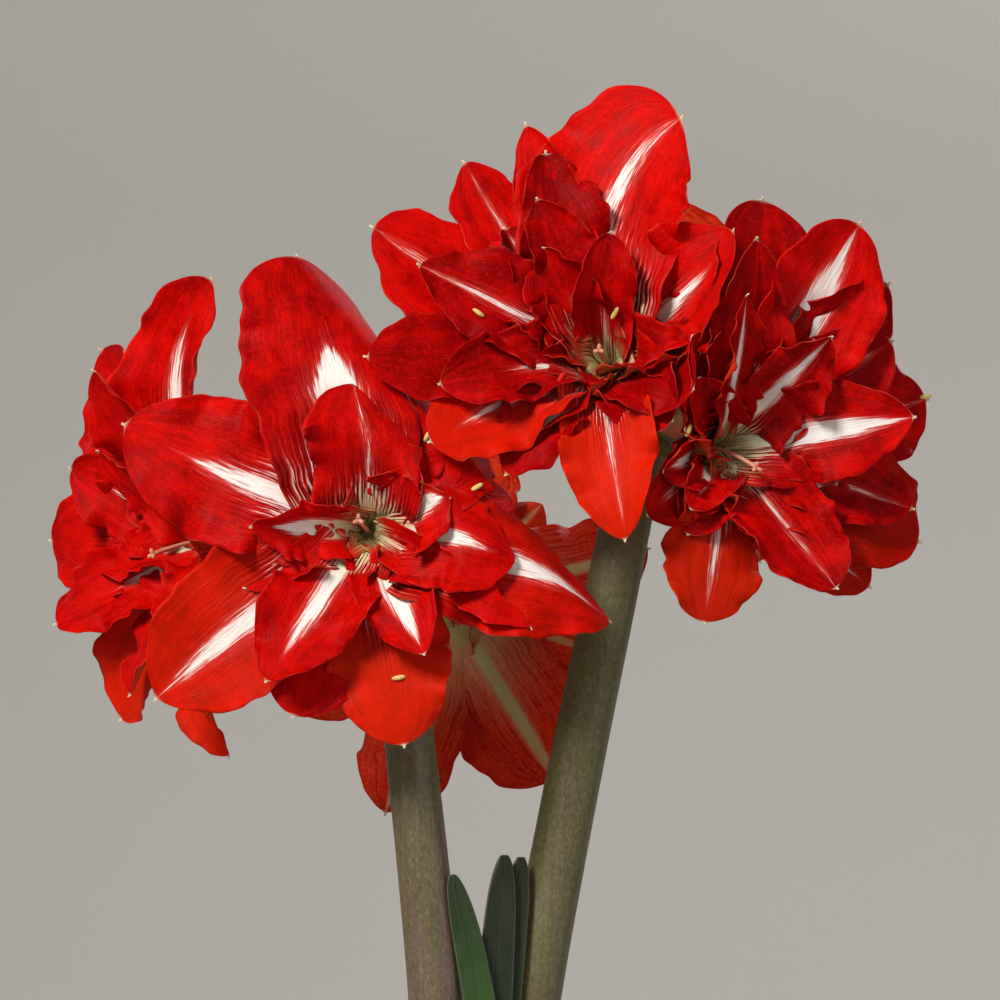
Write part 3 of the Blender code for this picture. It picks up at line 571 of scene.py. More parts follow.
REAR_RIGHT_PETALS = (
    ("tepal", 20, 74, 56, 76, 18, 18, 0, 0, 0.62, 0.26, 0.5),
    ("tepal", 80, 78, 60, 72, 12, 18, 0, 0, 0.62, 0.26, 0.5),
    ("tepal", 140, 84, 58, 76, 14, 18, 0, 0, 0.62, 0.26, 0.5),
    ("tepal", 200, 86, 60, 80, 16, 18, 0, 0, 0.62, 0.26, 0.5),
    ("tepal", 260, 84, 58, 82, 18, 18, 0, 0, 0.62, 0.26, 0.5),
    ("tepal", 320, 76, 56, 80, 16, 18, 0, 0, 0.62, 0.26, 0.5),
    ("petal", 52, 60, 46, 56, 12, 24, 0, 0, 0.72, 0.20, 0.5),
    ("petal", 170, 62, 46, 58, 12, 24, 0, 0, 0.72, 0.20, 0.5),
    ("petal", 290, 62, 46, 58, 12, 24, 0, 0, 0.72, 0.20, 0.5),
    ("petal", 112, 56, 42, 48, 14, 28, 0, 14, 0.66, 0.24, 0.4),
    ("petal", 232, 58, 42, 50, 14, 26, 0, -14, 0.66, 0.24, 0.4),
    ("petal", 350, 56, 42, 48, 14, 28, 0, 16, 0.66, 0.24, 0.4),
    ("curl", 80, 40, 30, 38, 34, 44, 0, 30, 0.70, 0.26, 0.4),
    ("curl", 200, 40, 30, 38, 34, 44, 0, -30, 0.70, 0.26, 0.4),
    ("curl", 320, 40, 30, 38, 34, 44, 0, 34, 0.70, 0.26, 0.4),
)
print("rear blooms:", len(REAR_LEFT_PETALS), "and", len(REAR_RIGHT_PETALS), "petals")

# %% [markdown]
# A bloom is placed by the top of its ovary and the way it faces. In a crowded head the petals of one bloom
# press on those of the next. A cloth simulation could press them, but it would take long and end differently
# each time. Here planes between neighbouring blooms press them softly back. A separator names the blooms
# behind it and ahead of it, a point on it and the way ahead, and how much of the press is used. Full presses
# would flatten the two most crowded blooms to a wall between them, so theirs is half.

# %% Where the blooms stand
BLOOMS = {
    "bloom_front": ((-42.0, -28.0, 484.0), (-0.06, -1.0, 0.08), FRONT_PETALS),
    "bloom_left": ((-93.0, 20.0, 481.0), (-0.80, -0.60, 0.05), LEFT_PETALS),
    "bloom_rear_left": ((-17.0, 44.0, 461.0), (0.16, 0.93, -0.26), REAR_LEFT_PETALS),
    "bloom_top": ((53.0, -20.0, 546.0), (-0.24, -0.86, 0.42), TOP_PETALS),
    "bloom_right": ((88.0, -22.0, 517.0), (0.44, -0.88, 0.04), RIGHT_PETALS),
    "bloom_rear_right": ((86.0, 42.0, 541.0), (0.36, 0.88, 0.30), REAR_RIGHT_PETALS),
}
LEFT_HEAD = ("bloom_front", "bloom_left", "bloom_rear_left")
RIGHT_HEAD = ("bloom_top", "bloom_right", "bloom_rear_right")
SEPARATORS = (
    (LEFT_HEAD, ("bloom_top", "bloom_right"), (-30.0, -46.0, 556.0), (0.30, -0.88, 0.36), 1.0),
    (LEFT_HEAD, ("bloom_rear_right",), (10.0, -30.0, 512.0), (0.70, -0.35, 0.62), 1.0),
    (("bloom_left",), ("bloom_front",), (-118.0, -28.0, 480.0), (0.50, -0.87, 0.0), 1.0),
    (("bloom_rear_left",), ("bloom_front",), (-20.0, 16.0, 440.0), (0.0, -1.0, 0.12), 1.0),
    (("bloom_left",), ("bloom_rear_left",), (-60.0, 42.0, 480.0), (0.88, 0.40, -0.10), 1.0),
    (("bloom_top",), ("bloom_right",), (76.0, -30.0, 534.0), (0.95, -0.02, -0.29), 0.5),
    (("bloom_rear_right",), ("bloom_top",), (60.0, 14.0, 560.0), (-0.25, -0.95, 0.0), 1.0),
    (("bloom_rear_right",), ("bloom_right",), (100.0, 12.0, 530.0), (0.10, -0.98, -0.15), 1.0),
)
SEPARATOR_SOFTNESS, SEPARATOR_GAP, SEPARATOR_STEP, SEPARATOR_LAYERS = 2.6, 0.8, 0.6, 6


def bloom_axes(facing):
    """Sideways, upward and outward unit vectors of a bloom: angle 0 is sideways and 90 is upward."""
    outward = unit(facing)
    sideways = unit(np.cross((0.0, 0.0, 1.0), outward))
    return sideways, np.cross(outward, sideways), outward


def keep_clear(name, index, points):
    """Adds softness times log(1 + e^((gap - depth) / softness)) to each point's depth ahead of a plane.

    The gap grows from petal to petal in a few steps, so pressed petals lie in layers.
    """
    gap = SEPARATOR_GAP + SEPARATOR_STEP * (index % SEPARATOR_LAYERS)
    for behind, ahead, point, normal, share in SEPARATORS:
        if name in behind + ahead:
            outward = unit(normal) * (1.0 if name in ahead else -1.0)
            depth = (points - np.asarray(point)) @ outward
            pressed = gap + SEPARATOR_SOFTNESS * np.logaddexp(0.0, (depth - gap) / SEPARATOR_SOFTNESS)
            points = points + (pressed - depth)[..., None] * outward * share
    return points


print("separators:", len(SEPARATORS), "between", len(BLOOMS), "blooms")

# %% [markdown]
# Now the petal itself. It is narrow at its foot, the claw, and broad in its blade, and comes to a drawn-out
# apex. A drawn outline could be filled and bent, but its mesh would not follow the veins. Here the half-width
# is a formula of v, the share of the length, so the lines of equal u run from the claw to the margin and meet
# at the tip just as the veins do.
#
# Each kind of petal has its own values: the angle at which it starts, the share of its length over which it
# opens, the radius of the ring it stands on, its claw's share of the width, the height of its waves and
# crimps, the cells of its grid, and how far up the veined fan reaches.

# %% A petal's width
PETAL_LEAD, LAYER_LEAN, HOOK_SHARE, LEAST_HALF_WIDTH = 5.0, 6.0, 0.014, 0.45
KINDS = {
    "tepal": {"start": 24.0, "opened": 0.42, "radius": 4.4, "claw": 0.28, "wave": 4.6, "crimp": 0.95,
              "cells": (34, 80), "fan": 0.76},
    "petal": {"start": 17.0, "opened": 0.36, "radius": 3.4, "claw": 0.36, "wave": 4.2, "crimp": 1.00,
              "cells": (30, 64), "fan": 0.60},
    "curl": {"start": 12.0, "opened": 0.36, "radius": 2.2, "claw": 0.38, "wave": 3.8, "crimp": 1.10,
             "cells": (24, 46), "fan": 0.44},
}


def petal_width(v, claw, point):
    """Half-width share: the claw's width fading out, plus a blade of v^rise times (1 - v^fall)^taper.

    The blade is divided by its greatest value. A higher point puts more of the petal in a tapering apex.
    """
    body = np.clip(v / (1.0 - HOOK_SHARE), 0.0, 1.0)
    rise, fall, taper = 0.60 + 0.12 * point, 4.2 - 1.9 * point, 0.56 + 0.26 * point
    blade = body**rise * np.clip(1.0 - body**fall, 0.0, 1.0) ** taper
    crest = np.linspace(0.0, 1.0, 101)
    blade = blade / np.max(crest**rise * (1.0 - crest**fall) ** taper)
    return claw * (1.0 - v) ** 1.2 + (1.0 - claw) * blade


def half_width(petal, index, u, v):
    """Half-width in mm: the petal's width share, times 1 plus four sine waves along each edge."""
    shift = 2.4 * index + 3.0 * np.sign(u)
    ragged = (1.0 + 0.07 * np.sin(3.0 * v + shift) * v + 0.026 * np.sin(17.0 * v + 1.3 * shift)
              + 0.020 * np.sin(37.0 * v + 2.1 * shift) + 0.010 * np.sin(71.0 * v + shift))
    outline = petal_width(v, KINDS[petal.kind]["claw"], petal.point)
    return np.maximum(petal.width / 2 * outline * ragged, LEAST_HALF_WIDTH)


first_petal = Petal(*FRONT_PETALS[0])
u, v = spread_grid(8, 40)
print("widest part of the first petal in mm:", round(2 * half_width(first_petal, 0, u, v).max(), 1))

# %% [markdown]
# Seen from the side, the midrib leaves the short tube at a steep angle, bends open, and curls back towards
# the tip. Bones or a Bend modifier could do that, but each petal would need its own. Here the angle off the
# flower's axis is a function of the length, and adding up short steps in that direction gives the curve.

# %% A petal's midrib
MIDRIB_STEPS, CURL_FROM = 128, 0.4


def lean(petal, index, t):
    """Angle off the axis at share t: it eases open from the kind's start, then curls with power 1.3.

    Every second petal leans out a little more, so that neighbours lie in two layers.
    """
    shape = KINDS[petal.kind]
    start = shape["start"]
    opened = start + LAYER_LEAN * (index % 2) + (petal.opening - start) * smooth(t / shape["opened"])
    return np.radians(opened + petal.curl * np.clip((t - CURL_FROM) / (1.0 - CURL_FROM), 0.0, 1.0) ** 1.3)


def heading(petal, t):
    """Angle round the axis at share t: the petal's own angle plus its sway times t squared."""
    return np.radians(petal.angle + petal.sway * t**2)


def radial(e1, e2, angle):
    """Unit vector square to the axis at an angle: cosine of it sideways plus sine of it upwards."""
    return np.cos(angle)[..., None] * e1 + np.sin(angle)[..., None] * e2


def midrib(name, index, petal):
    """Points along the midrib: the running sum of unit steps that lean off the axis, scaled to the reach."""
    foot, facing = BLOOMS[name][:2]
    e1, e2, axis = bloom_axes(facing)
    radius = KINDS[petal.kind]["radius"]
    steps = np.linspace(0.0, 1.0, MIDRIB_STEPS + 1)
    angle, out = lean(petal, index, steps), radial(e1, e2, heading(petal, steps))
    tangent = np.cos(angle)[:, None] * axis + np.sin(angle)[:, None] * out
    run = np.vstack([np.zeros(3), np.cumsum((tangent[1:] + tangent[:-1]) / 2 / MIDRIB_STEPS, axis=0)])
    outwards = np.sin(angle)
    length = (petal.reach - radius) / np.mean((outwards[1:] + outwards[:-1]) / 2)
    start = np.asarray(foot) + PETAL_LEAD * axis + radius * out[0]
    return steps, start + length * run, length


print("length of the first petal in mm:", round(midrib("bloom_front", 0, first_petal)[2], 1))

# %% [markdown]
# Across the midrib the section is an arc, deep at the claw and shallow in the blade. On it lie the ruffles:
# slow waves that grow to the edge, quick crimps at the very edge, soft puckers and fine pleats between the
# veins, the crease of the midrib, and the small hook at the tip. A Displace modifier could raise them from a
# texture, but it would not know where the edge is. As sums of sines of u and v they follow the petal.

# %% A petal's section and ruffles
CLAW_BEND, LEAST_BEND = 70.0, 1e-3


def cupped(half, u, v, cup):
    """Sideways and inward offsets of points on an arc, both from the sine rule of half the angle turned.

    The arc turns by the claw's bend at the foot and eases to the petal's cup in the blade.
    """
    bend = np.radians(CLAW_BEND) * (1.0 - v) ** 4 + np.radians(cup) * (1.0 - (1.0 - v) ** 4)
    bend = np.where(np.abs(bend) < LEAST_BEND, LEAST_BEND, bend)
    return half * u * np.sinc(bend * u / np.pi), half * bend * u**2 / 2 * np.sinc(bend * u / 2 / np.pi) ** 2


def ruffle(shape, index, u, v, half):
    """Waves, crimps, puckers and pleats, faded at foot and tip by a sine, plus the crease and the hook."""
    edge, fade = np.abs(u), np.sin(np.pi * v) ** 0.7
    turns, phase = 2 * np.pi * v, 1.7 * index + np.where(u > 0, 1.9, 0.0)
    waves = 1.8 + 0.6 * (index % 3)
    slow = shape["wave"] * edge**2.0 * (np.sin(turns * waves + phase)
                                        + 0.50 * np.sin(turns * 2.3 * waves + 2.7 * phase) * edge)
    wander = 1.6 * np.sin(9.0 * v + index)
    quick = shape["crimp"] * edge**5 * np.sin(turns * (8.3 + index % 3) + 2.3 * phase + wander)
    quick = quick + 0.45 * shape["crimp"] * edge**9 * np.sin(turns * 16.0 + 3.1 * phase)
    pucker = 1.1 * np.sin(4.0 * u + 1.3 * index + 4.0 * v) * np.sin(3.0 * np.pi * v + index) * edge**0.7
    pleats = 0.22 * np.sin(19.0 * u + index + 1.5 * np.sin(4.0 * v + index)) * edge**0.4
    crease = 0.11 * half * (np.sqrt(u**2 + 0.002) - 0.045) * (1.0 - 0.5 * v)
    hook = smooth((v - 1.0 + HOOK_SHARE * 1.3) / (HOOK_SHARE * 1.3)) ** 1.5
    return (slow + quick + pucker + pleats) * fade + crease + hook


rise = ruffle(KINDS["tepal"], 0, u, v, 30.0)
print("a tepal's ruffles span in mm:", round(np.ptp(rise), 1))

# %% [markdown]
# The last step puts the section on the midrib, turned by the petal's twist, and lets the separators press it.
# A Curve modifier could carry a flat petal along a drawn midrib, but it would want a curve object for each of
# more than a hundred petals. Sums of arrays place every point of a petal at once.

# %% A petal's surface
def petal_surface(name, index, petal, u, v):
    """Midrib point at v, plus the section's offsets along the petal's side and its inward normal."""
    e1, e2, axis = bloom_axes(BLOOMS[name][1])
    steps, line, length = midrib(name, index, petal)
    centre = np.stack([np.interp(v, steps, line[:, k]) for k in range(3)], axis=-1)
    theta, phi = lean(petal, index, v), heading(petal, v)
    across = -np.sin(phi)[..., None] * e1 + np.cos(phi)[..., None] * e2
    inward = np.sin(theta)[..., None] * axis - np.cos(theta)[..., None] * radial(e1, e2, phi)
    roll = np.radians(petal.twist) * v**1.4
    side = np.cos(roll)[..., None] * across + np.sin(roll)[..., None] * inward
    normal = np.cos(roll)[..., None] * inward - np.sin(roll)[..., None] * across
    half = half_width(petal, index, u, v)
    out, rise = cupped(half, u, v, petal.cup)
    rise = rise + ruffle(KINDS[petal.kind], index, u, v, half)
    return keep_clear(name, index, centre + out[..., None] * side + rise[..., None] * normal), length


surface = petal_surface("bloom_front", 0, first_petal, u, v)[0]
print("the first petal's box in mm:", np.ptp(surface.reshape(-1, 3), axis=0).round(1))

# %% [markdown]
# Colour on a petal follows its growth, so it could be painted on an unwrapped map, one map for each of a
# hundred petals. Instead each petal carries a few numbers at its points for the finish to read: its vein
# coordinate across, the millimetres from its foot, a field that is positive inside the white flash, one
# that fades out from the veined fan at the foot, one that rises at the edge and one at the hook. A seed
# shifts the noises, and the last number is 1 on tepals that hang down, which get a painted orange glow of
# light shining through them.

# %% One petal with its values
TIP_CROWDING = 1.25
BLADE_THICKNESS, CLAW_THICKENING, EDGE_THINNING = 0.42, 0.5, 0.1
KEEL_HEIGHT, KEEL_WIDTH = 0.7, 0.07
FLASH_FALL, FAN_NARROWING, EDGE_FROM = 1.25, 0.42, 0.9
SEED_TURN, SEED_SPAN = 0.618, 40.0


def make_petal(name, index, petal):
    """A closed petal, with the values that paint it.

    The flash's half-width is a sine arch along its length, plus a foot that narrows with the square.
    """
    u, v = spread_grid(*KINDS[petal.kind]["cells"], tip_power=TIP_CROWDING)
    points, length = petal_surface(name, index, petal, u, v)
    thickness = BLADE_THICKNESS + CLAW_THICKENING * (1.0 - v) ** 3 - EDGE_THINNING * np.abs(u) ** 3
    keel = KEEL_HEIGHT * np.exp(-((u / KEEL_WIDTH) ** 2)) * (1.0 - v) ** 0.8
    along = np.clip(v / petal.flash_end, 0.0, 1.0)
    arch = np.sin(np.pi * np.clip(along, 0.02, 1.0) ** 1.25) ** 0.7
    band = petal.flash_width * (arch * 0.9 + 0.45 * (1 - along) ** 2)
    beyond = np.clip(v - petal.flash_end, 0.0, 1.0)
    own = (index * SEED_TURN + sum(map(ord, name)) * 0.137) % 1.0
    values = {
        "vein": u,
        "along": v * length,
        "flash": band - np.abs(u) - FLASH_FALL * beyond,
        "fan": (1.0 - v / KINDS[petal.kind]["fan"]) - FAN_NARROWING * np.abs(u),
        "edge": np.maximum(np.abs(u), smooth((v - EDGE_FROM) / (1.0 - EDGE_FROM))),
        "tip": smooth((v - 1.0 + HOOK_SHARE * 1.4) / (HOOK_SHARE * 0.8)),
        "seed": own * SEED_SPAN,
        # 1 on hanging tepals, which the finish paints with an orange glow of light shining through them
        "warm": np.clip(-np.sin(np.radians(petal.angle)), 0.0, 1.0) * (petal.kind == "tepal"),
    }
    return sheet(points, thickness, keel, **values)


print("points in the first petal:", len(make_petal("bloom_front", 0, first_petal)[0]))

# %% [markdown]
# On the real petal everything runs with the veins: streaks, fine dark lines, the feathered edge of the flash.
# A photograph could be laid on it, but it would stretch and repeat. Here noises are stretched along the
# petal's own two numbers, the vein coordinate and the millimetres from the foot, and two more noises in plain
# space give the slow mottle and the tiny cells, whose glitter in the light is painted into the colour as
# bright specks.

# %% Patterns that follow the veins
class PetalPaint(Finish):
    """A finish that knows a petal's values and the noises that follow its veins."""

    def __init__(self, name):
        super().__init__(name)
        self.vein, self.along, self.seed = self.value("vein"), self.value("along"), self.value("seed")
        self.fan = self.value("fan")
        self.coarse = self.noise(self.stretched(5.0, 0.030, 0.0), 1.0, 2.0, 0.6)
        self.fine = self.noise(self.stretched(24.0, 0.045, 9.0), 1.0, 3.0, 0.65)
        self.hair = self.noise(self.stretched(60.0, 0.10, 17.0), 1.0, 2.0, 0.6)
        self.mottle = self.noise(self.place(), 90.0, 4.0, 0.6)
        self.cells = self.noise(self.place(), 620.0, 3.0, 0.7)

    def stretched(self, across_scale, along_scale, shift):
        """Vein coordinate and length, each times its scale; the petal's seed picks a slice of the noise."""
        return self.vector(self.times(self.vein, across_scale), self.times(self.along, along_scale),
                           self.plus(self.seed, shift))


petal_paint = PetalPaint("petal_red")
print("nodes for the petal's patterns:", len(petal_paint.tree.nodes))

# %% [markdown]
# The petal's red is not one red. It runs from a deep crimson to scarlet in soft streaks that follow the
# veins, and each petal has a tone of its own. One flat red would look like plastic, so five thin layers lie
# over the first mix: dark veins, bright hairs that are painted spots of light, bright cells that are painted
# glints, dark cells, and on hanging tepals a painted orange glow of light shining through.

# %% The reds
CRIMSON, SCARLET = (0.22, 0.0003, 0.0004), (0.64, 0.0014, 0.0004)
# the hair red is painted light: bright streaks along the veins stand for spots of light
VEIN_RED, PAINTED_LIGHT_HAIR_RED = (0.20, 0.0005, 0.0008), (0.74, 0.007, 0.001)
# the bright cell red is a painted glint, light glittering on the petal's cells; the dark cell red is grain
CELL_GLINT_RED, DARK_CELL = (0.76, 0.009, 0.003), (0.24, 0.0004, 0.0006)
# painted light: the orange glow of light shining through the hanging tepals
PAINTED_THROUGH_LIGHT_RED = (0.70, 0.026, 0.002)


def petal_reds(paint):
    """Crimson to scarlet by 0.4 of the streaks, 0.6 of the mottle and a tone of its own, then the layers."""
    own_tone = paint.calc("FRACT", paint.times(paint.seed, 1.7))
    tone = paint.plus(paint.times(paint.coarse, 0.40), paint.times(paint.mottle, 0.60))
    tone = paint.plus(tone, paint.times(paint.minus(own_tone, 0.5), 0.20))
    red = paint.mix(paint.mask(tone, 0.30, 0.70), CRIMSON, SCARLET)
    off_vein = paint.mask(paint.calc("ABSOLUTE", paint.minus(paint.fine, 0.5)), 0.012, 0.055)
    red = paint.mix(paint.times(paint.minus(1.0, off_vein), 0.34), red, VEIN_RED)
    # painted light: bright hairs along the veins, standing for spots of light on the satin
    red = paint.mix(paint.mask(paint.hair, 0.56, 0.74, 0.0, 0.30), red, PAINTED_LIGHT_HAIR_RED)
    # painted glints: bright cells that stand for light glittering on the petal's cells
    red = paint.mix(paint.mask(paint.cells, 0.50, 0.72, 0.0, 0.35), red, CELL_GLINT_RED)
    red = paint.mix(paint.mask(paint.cells, 0.34, 0.46, 0.30, 0.0), red, DARK_CELL)
    # painted light: hanging tepals get the orange glow of light shining through them
    return paint.mix(paint.times(paint.value("warm"), 0.45), red, PAINTED_THROUGH_LIGHT_RED)


print("crimson and scarlet:", CRIMSON, SCARLET)

# %% [markdown]
# The flash is white further out and cream at the throat. The red creeps into it along the veins, so noise is
# added to its field before the mask cuts it, which feathers the edge. Nearer the throat lies the fan: dark
# lines and paler red between them, and last only veins on cream. A sine of the vein coordinate draws the
# lines, and noise makes them wander. Deep in the throat all turns to green with brown veins.

# %% The flash, the fan and the throat
FLASH_BORDER, FAN_DARK, FAN_PALE = (0.62, 0.050, 0.040), (0.12, 0.0006, 0.0010), (0.74, 0.055, 0.040)
CREAM, WHITE = (0.66, 0.64, 0.34), (0.86, 0.80, 0.74)
FLASH_HAIR, FAN_PINK = (0.74, 0.26, 0.22), (0.80, 0.16, 0.12)
THROAT_VEIN, THROAT_GREEN = (0.16, 0.020, 0.018), (0.46, 0.47, 0.17)
FAN_LINES, FAN_WANDER = 84.0, 16.0


def petal_front(paint, red):
    """The inner face: red under the fan's lines, white where flash or fan is high, and the throat's green."""
    streaks = paint.plus(paint.times(paint.minus(paint.fine, 0.5), 0.34),
                         paint.times(paint.minus(paint.hair, 0.5), 0.30))
    field = paint.plus(paint.value("flash"), streaks)
    flash = paint.mask(field, 0.0, 0.12)
    red = paint.mix(paint.mask(field, -0.12, 0.04, 0.0, 0.45), red, FLASH_BORDER)

    turns = paint.plus(paint.times(paint.vein, FAN_LINES), paint.times(paint.fine, FAN_WANDER))
    wave = paint.calc("SINE", turns)
    pattern = paint.plus(paint.times(wave, 0.17), paint.times(paint.fine, 0.85))
    veined = paint.mask(paint.plus(paint.fan, pattern), 0.84, 1.06)
    striped = paint.mask(paint.fan, -0.04, 0.50)
    stripe = paint.mask(paint.plus(wave, paint.times(paint.minus(paint.fine, 0.5), 2.0)), -0.5, 0.5)
    dark_line = paint.times(striped, paint.minus(1.0, stripe))
    red = paint.mix(paint.times(dark_line, 0.75), red, FAN_DARK)
    red = paint.mix(paint.times(paint.times(striped, stripe), 0.30), red, FAN_PALE)

    pale = paint.mix(paint.mask(paint.along, 12.0, 40.0), CREAM, WHITE)
    pale = paint.mix(paint.mask(paint.hair, 0.50, 0.68, 0.0, 0.30), pale, FLASH_HAIR)
    outer_fan = paint.minus(paint.mask(paint.fan, 0.10, 0.50, 0.85, 0.0), flash, clamp=True)
    pale = paint.mix(outer_fan, pale, FAN_PINK)
    front = paint.mix(paint.calc("MAXIMUM", flash, veined), red, pale)
    throat = paint.mix(paint.mask(paint.fine, 0.44, 0.54), THROAT_VEIN, THROAT_GREEN)
    return paint.mix(paint.mask(paint.along, 5.0, 18.0, 1.0, 0.0), front, throat)


print("lines in a fan, edge to edge:", round(2 * FAN_LINES / (2 * np.pi)))

# %% [markdown]
# The back is duller and more orange, fades to straw towards the foot, and has a green rib down its middle.
# It could be a second material on its own faces, but then front and back would need their own seams. The
# sheet carries a value that is 1 on its back, and the finish mixes the two faces by it.

# %% The back
BACK_DARK, BACK_LIGHT, BACK_CELL = (0.34, 0.006, 0.002), (0.58, 0.030, 0.006), (0.66, 0.070, 0.020)
STRAW, RIB_GREEN, FOOT_GREEN = (0.56, 0.42, 0.22), (0.46, 0.44, 0.20), (0.30, 0.34, 0.12)
BACK_RIM = (0.46, 0.006, 0.002)


def petal_back(paint):
    """The outer face: orange reds by the fine noise, then cells, the straw fade, rib, foot and rim."""
    rib = paint.mask(paint.calc("ABSOLUTE", paint.vein), 0.04, 0.16, 1.0, 0.0)
    colour = paint.mix(paint.mask(paint.fine, 0.36, 0.56), BACK_DARK, BACK_LIGHT)
    colour = paint.mix(paint.mask(paint.cells, 0.44, 0.64, 0.0, 0.5), colour, BACK_CELL)
    fade = paint.mask(paint.plus(paint.fan, paint.times(paint.fine, 0.7)), 0.25, 1.25, 0.0, 0.85)
    colour = paint.mix(fade, colour, STRAW)
    colour = paint.mix(paint.times(rib, paint.mask(paint.fan, -1.0, 0.2)), colour, RIB_GREEN)
    colour = paint.mix(paint.mask(paint.along, 8.0, 34.0, 0.85, 0.0), colour, FOOT_GREEN)
    return paint.mix(paint.mask(paint.value("edge"), 0.88, 1.0, 0.0, 0.85), colour, BACK_RIM)


print("back, from rim to foot:", BACK_RIM, STRAW, FOOT_GREEN)

# %% [markdown]
# Small things finish the petal: a broken pale line on its very edge, partly its own pale margin and partly
# a painted highlight on the crimps, the cream hook, and pink styles and yellow anthers, which are parts of
# the same mesh and so share the finish. Light passes through a petal a little, so the finish scatters it
# under the surface. The face is satin, neither wet nor dull: most of the shine is turned down, and shallow
# bumps follow the fine veins.

# %% The whole petal finish
# the edge pink is partly the petal's own pale margin and partly a painted highlight on its crimps
EDGE_PINK_AND_HIGHLIGHT, HOOK_CREAM = (0.72, 0.14, 0.10), (0.80, 0.70, 0.48)
STYLE_PINKS = (0.50, 0.08, 0.05), (0.80, 0.46, 0.30)
ANTHER_YELLOWS = (0.50, 0.30, 0.05), (0.86, 0.72, 0.30)


def petal_finish(paint):
    """Front and back mixed by the back value, the small things over them, and the satin surface."""
    colour = paint.mix(paint.mask(paint.value("back"), 0.3, 0.9), petal_front(paint, petal_reds(paint)),
                       petal_back(paint))
    # a broken pale line on the very edge: partly its own pale margin, partly a painted highlight
    margin = paint.mask(paint.value("edge"), 0.965, 1.0)
    colour = paint.mix(paint.times(margin, paint.mask(paint.hair, 0.44, 0.70, 0.0, 0.26)), colour, EDGE_PINK_AND_HIGHLIGHT)
    colour = paint.mix(paint.value("tip"), colour, HOOK_CREAM)
    stamen = paint.value("stamen")
    style, pollen = paint.mix(paint.cells, *STYLE_PINKS), paint.mix(paint.cells, *ANTHER_YELLOWS)
    colour = paint.mix(paint.mask(stamen, 0.4, 0.6), colour, style)
    colour = paint.mix(paint.mask(stamen, 1.4, 1.6), colour, pollen)
    ribs = paint.bump(paint.fine, 0.0007, 0.55)
    grain = paint.bump(paint.noise(paint.place(), 900.0, 2.0), 0.00010, 0.5, ribs)
    paint.set(Base_Color=colour, Roughness=paint.mask(paint.mottle, 0.3, 0.7, 0.42, 0.56), Normal=grain,
              Subsurface_Weight=0.15, Subsurface_Radius=(0.0030, 0.0006, 0.0004), Subsurface_Scale=1.0,
              Specular_IOR_Level=0.045)
    return paint.material


petal_red = petal_finish(petal_paint)
print("nodes in the petal finish:", len(petal_paint.tree.nodes))

# %% [markdown]
# A double flower still has a style with a three-lobed stigma, and a few of its petaloids carry an anther
# that never became a whole stamen. They could be placed by eye in the view, but then they would float when a
# petal is changed. The style grows from the bloom's own axis, and its row gives its length and how far it
# bends sideways and up. An anther's row gives its place across and its height, as seen from in front, and its
# tilt in degrees, and it lies on the petal point that is nearest to the viewer there.

# %% Styles and anthers
STYLE_RADIUS, STYLE_FOOT, LOBE_REACH = 0.8, 4.0, 2.4
ANTHER_HALF, ANTHER_RADIUS, ANTHER_BOW, ANTHER_LIFT = 2.7, 0.9, 0.8, 0.6
FAR_WEIGHT = 8.0
STAMEN_STYLE, STAMEN_ANTHER = 1.0, 2.0


def bead(path, radius, stamen):
    """A tube along a path whose radius swells from nothing and back, as the root of 1 minus t squared."""
    t = np.linspace(-1.0, 1.0, len(path))
    return tube(path, radius * np.sqrt(1.0 - t**2) + 0.05, 14, (0.13, 0.9, 0.4), stamen=stamen)


def style_parts(name, length, across, upward):
    """The style out of the throat and its three lobes, bent sideways by t squared."""
    foot, facing = BLOOMS[name][:2]
    e1, e2, axis = bloom_axes(facing)
    t = np.linspace(0.0, 1.0, 20)[:, None]
    path = np.asarray(foot) + axis * (STYLE_FOOT + length * t) + (e1 * across + e2 * upward) * t**2
    parts = [tube(path, np.full(20, STYLE_RADIUS), 16, unit(e1 + 0.2 * e2), stamen=STAMEN_STYLE)]
    reach = np.linspace(0.0, 1.0, 9)[:, None]
    for turn in np.radians((90.0, 210.0, 330.0)):
        out = np.cos(turn) * e1 + np.sin(turn) * e2
        lobe = path[-1] + out * LOBE_REACH * reach + axis * (1.4 * reach - 0.6)
        parts.append(bead(lobe, STYLE_RADIUS, STAMEN_STYLE))
    return parts


def anther(petals, across, height, tilt):
    """A curved anther on the petal point with the smallest sum of depth and 8 times its distance away."""
    points = np.vstack([points for points, _, _ in petals])
    apart = np.hypot(points[:, 0] - across, points[:, 2] - height)
    x, y, z = points[np.argmin(points[:, 1] + FAR_WEIGHT * apart)] - (0.0, ANTHER_LIFT, 0.0)
    t, turn = np.linspace(-1.0, 1.0, 15), np.radians(tilt)
    path = np.stack([x + ANTHER_HALF * t * np.cos(turn), y - ANTHER_BOW * (1.0 - t**2),
                     z + ANTHER_HALF * t * np.sin(turn)], axis=1)
    return bead(path, ANTHER_RADIUS, STAMEN_ANTHER)


STYLES = {
    "bloom_front": (25.0, -2.0, 3.0), "bloom_left": (44.0, 4.0, -8.0), "bloom_rear_left": (44.0, 5.0, -6.0),
    "bloom_top": (26.0, 2.0, -4.0), "bloom_right": (32.0, 4.0, -9.0), "bloom_rear_right": (44.0, -4.0, -6.0),
}
ANTHERS = {
    "bloom_front": ((-19.0, 521.8, 60), (-6.6, 545.0, 120), (-29.4, 429.0, 10), (0.0, 502.2, 30)),
    "bloom_top": ((0.8, 569.6, -35), (53.0, 569.0, 60)),
    "bloom_right": ((81.2, 523.8, 70), (179.0, 538.6, 10)),
    "bloom_left": ((-108.0, 500.0, 40),),
}
print("anthers to place:", sum(map(len, ANTHERS.values())))

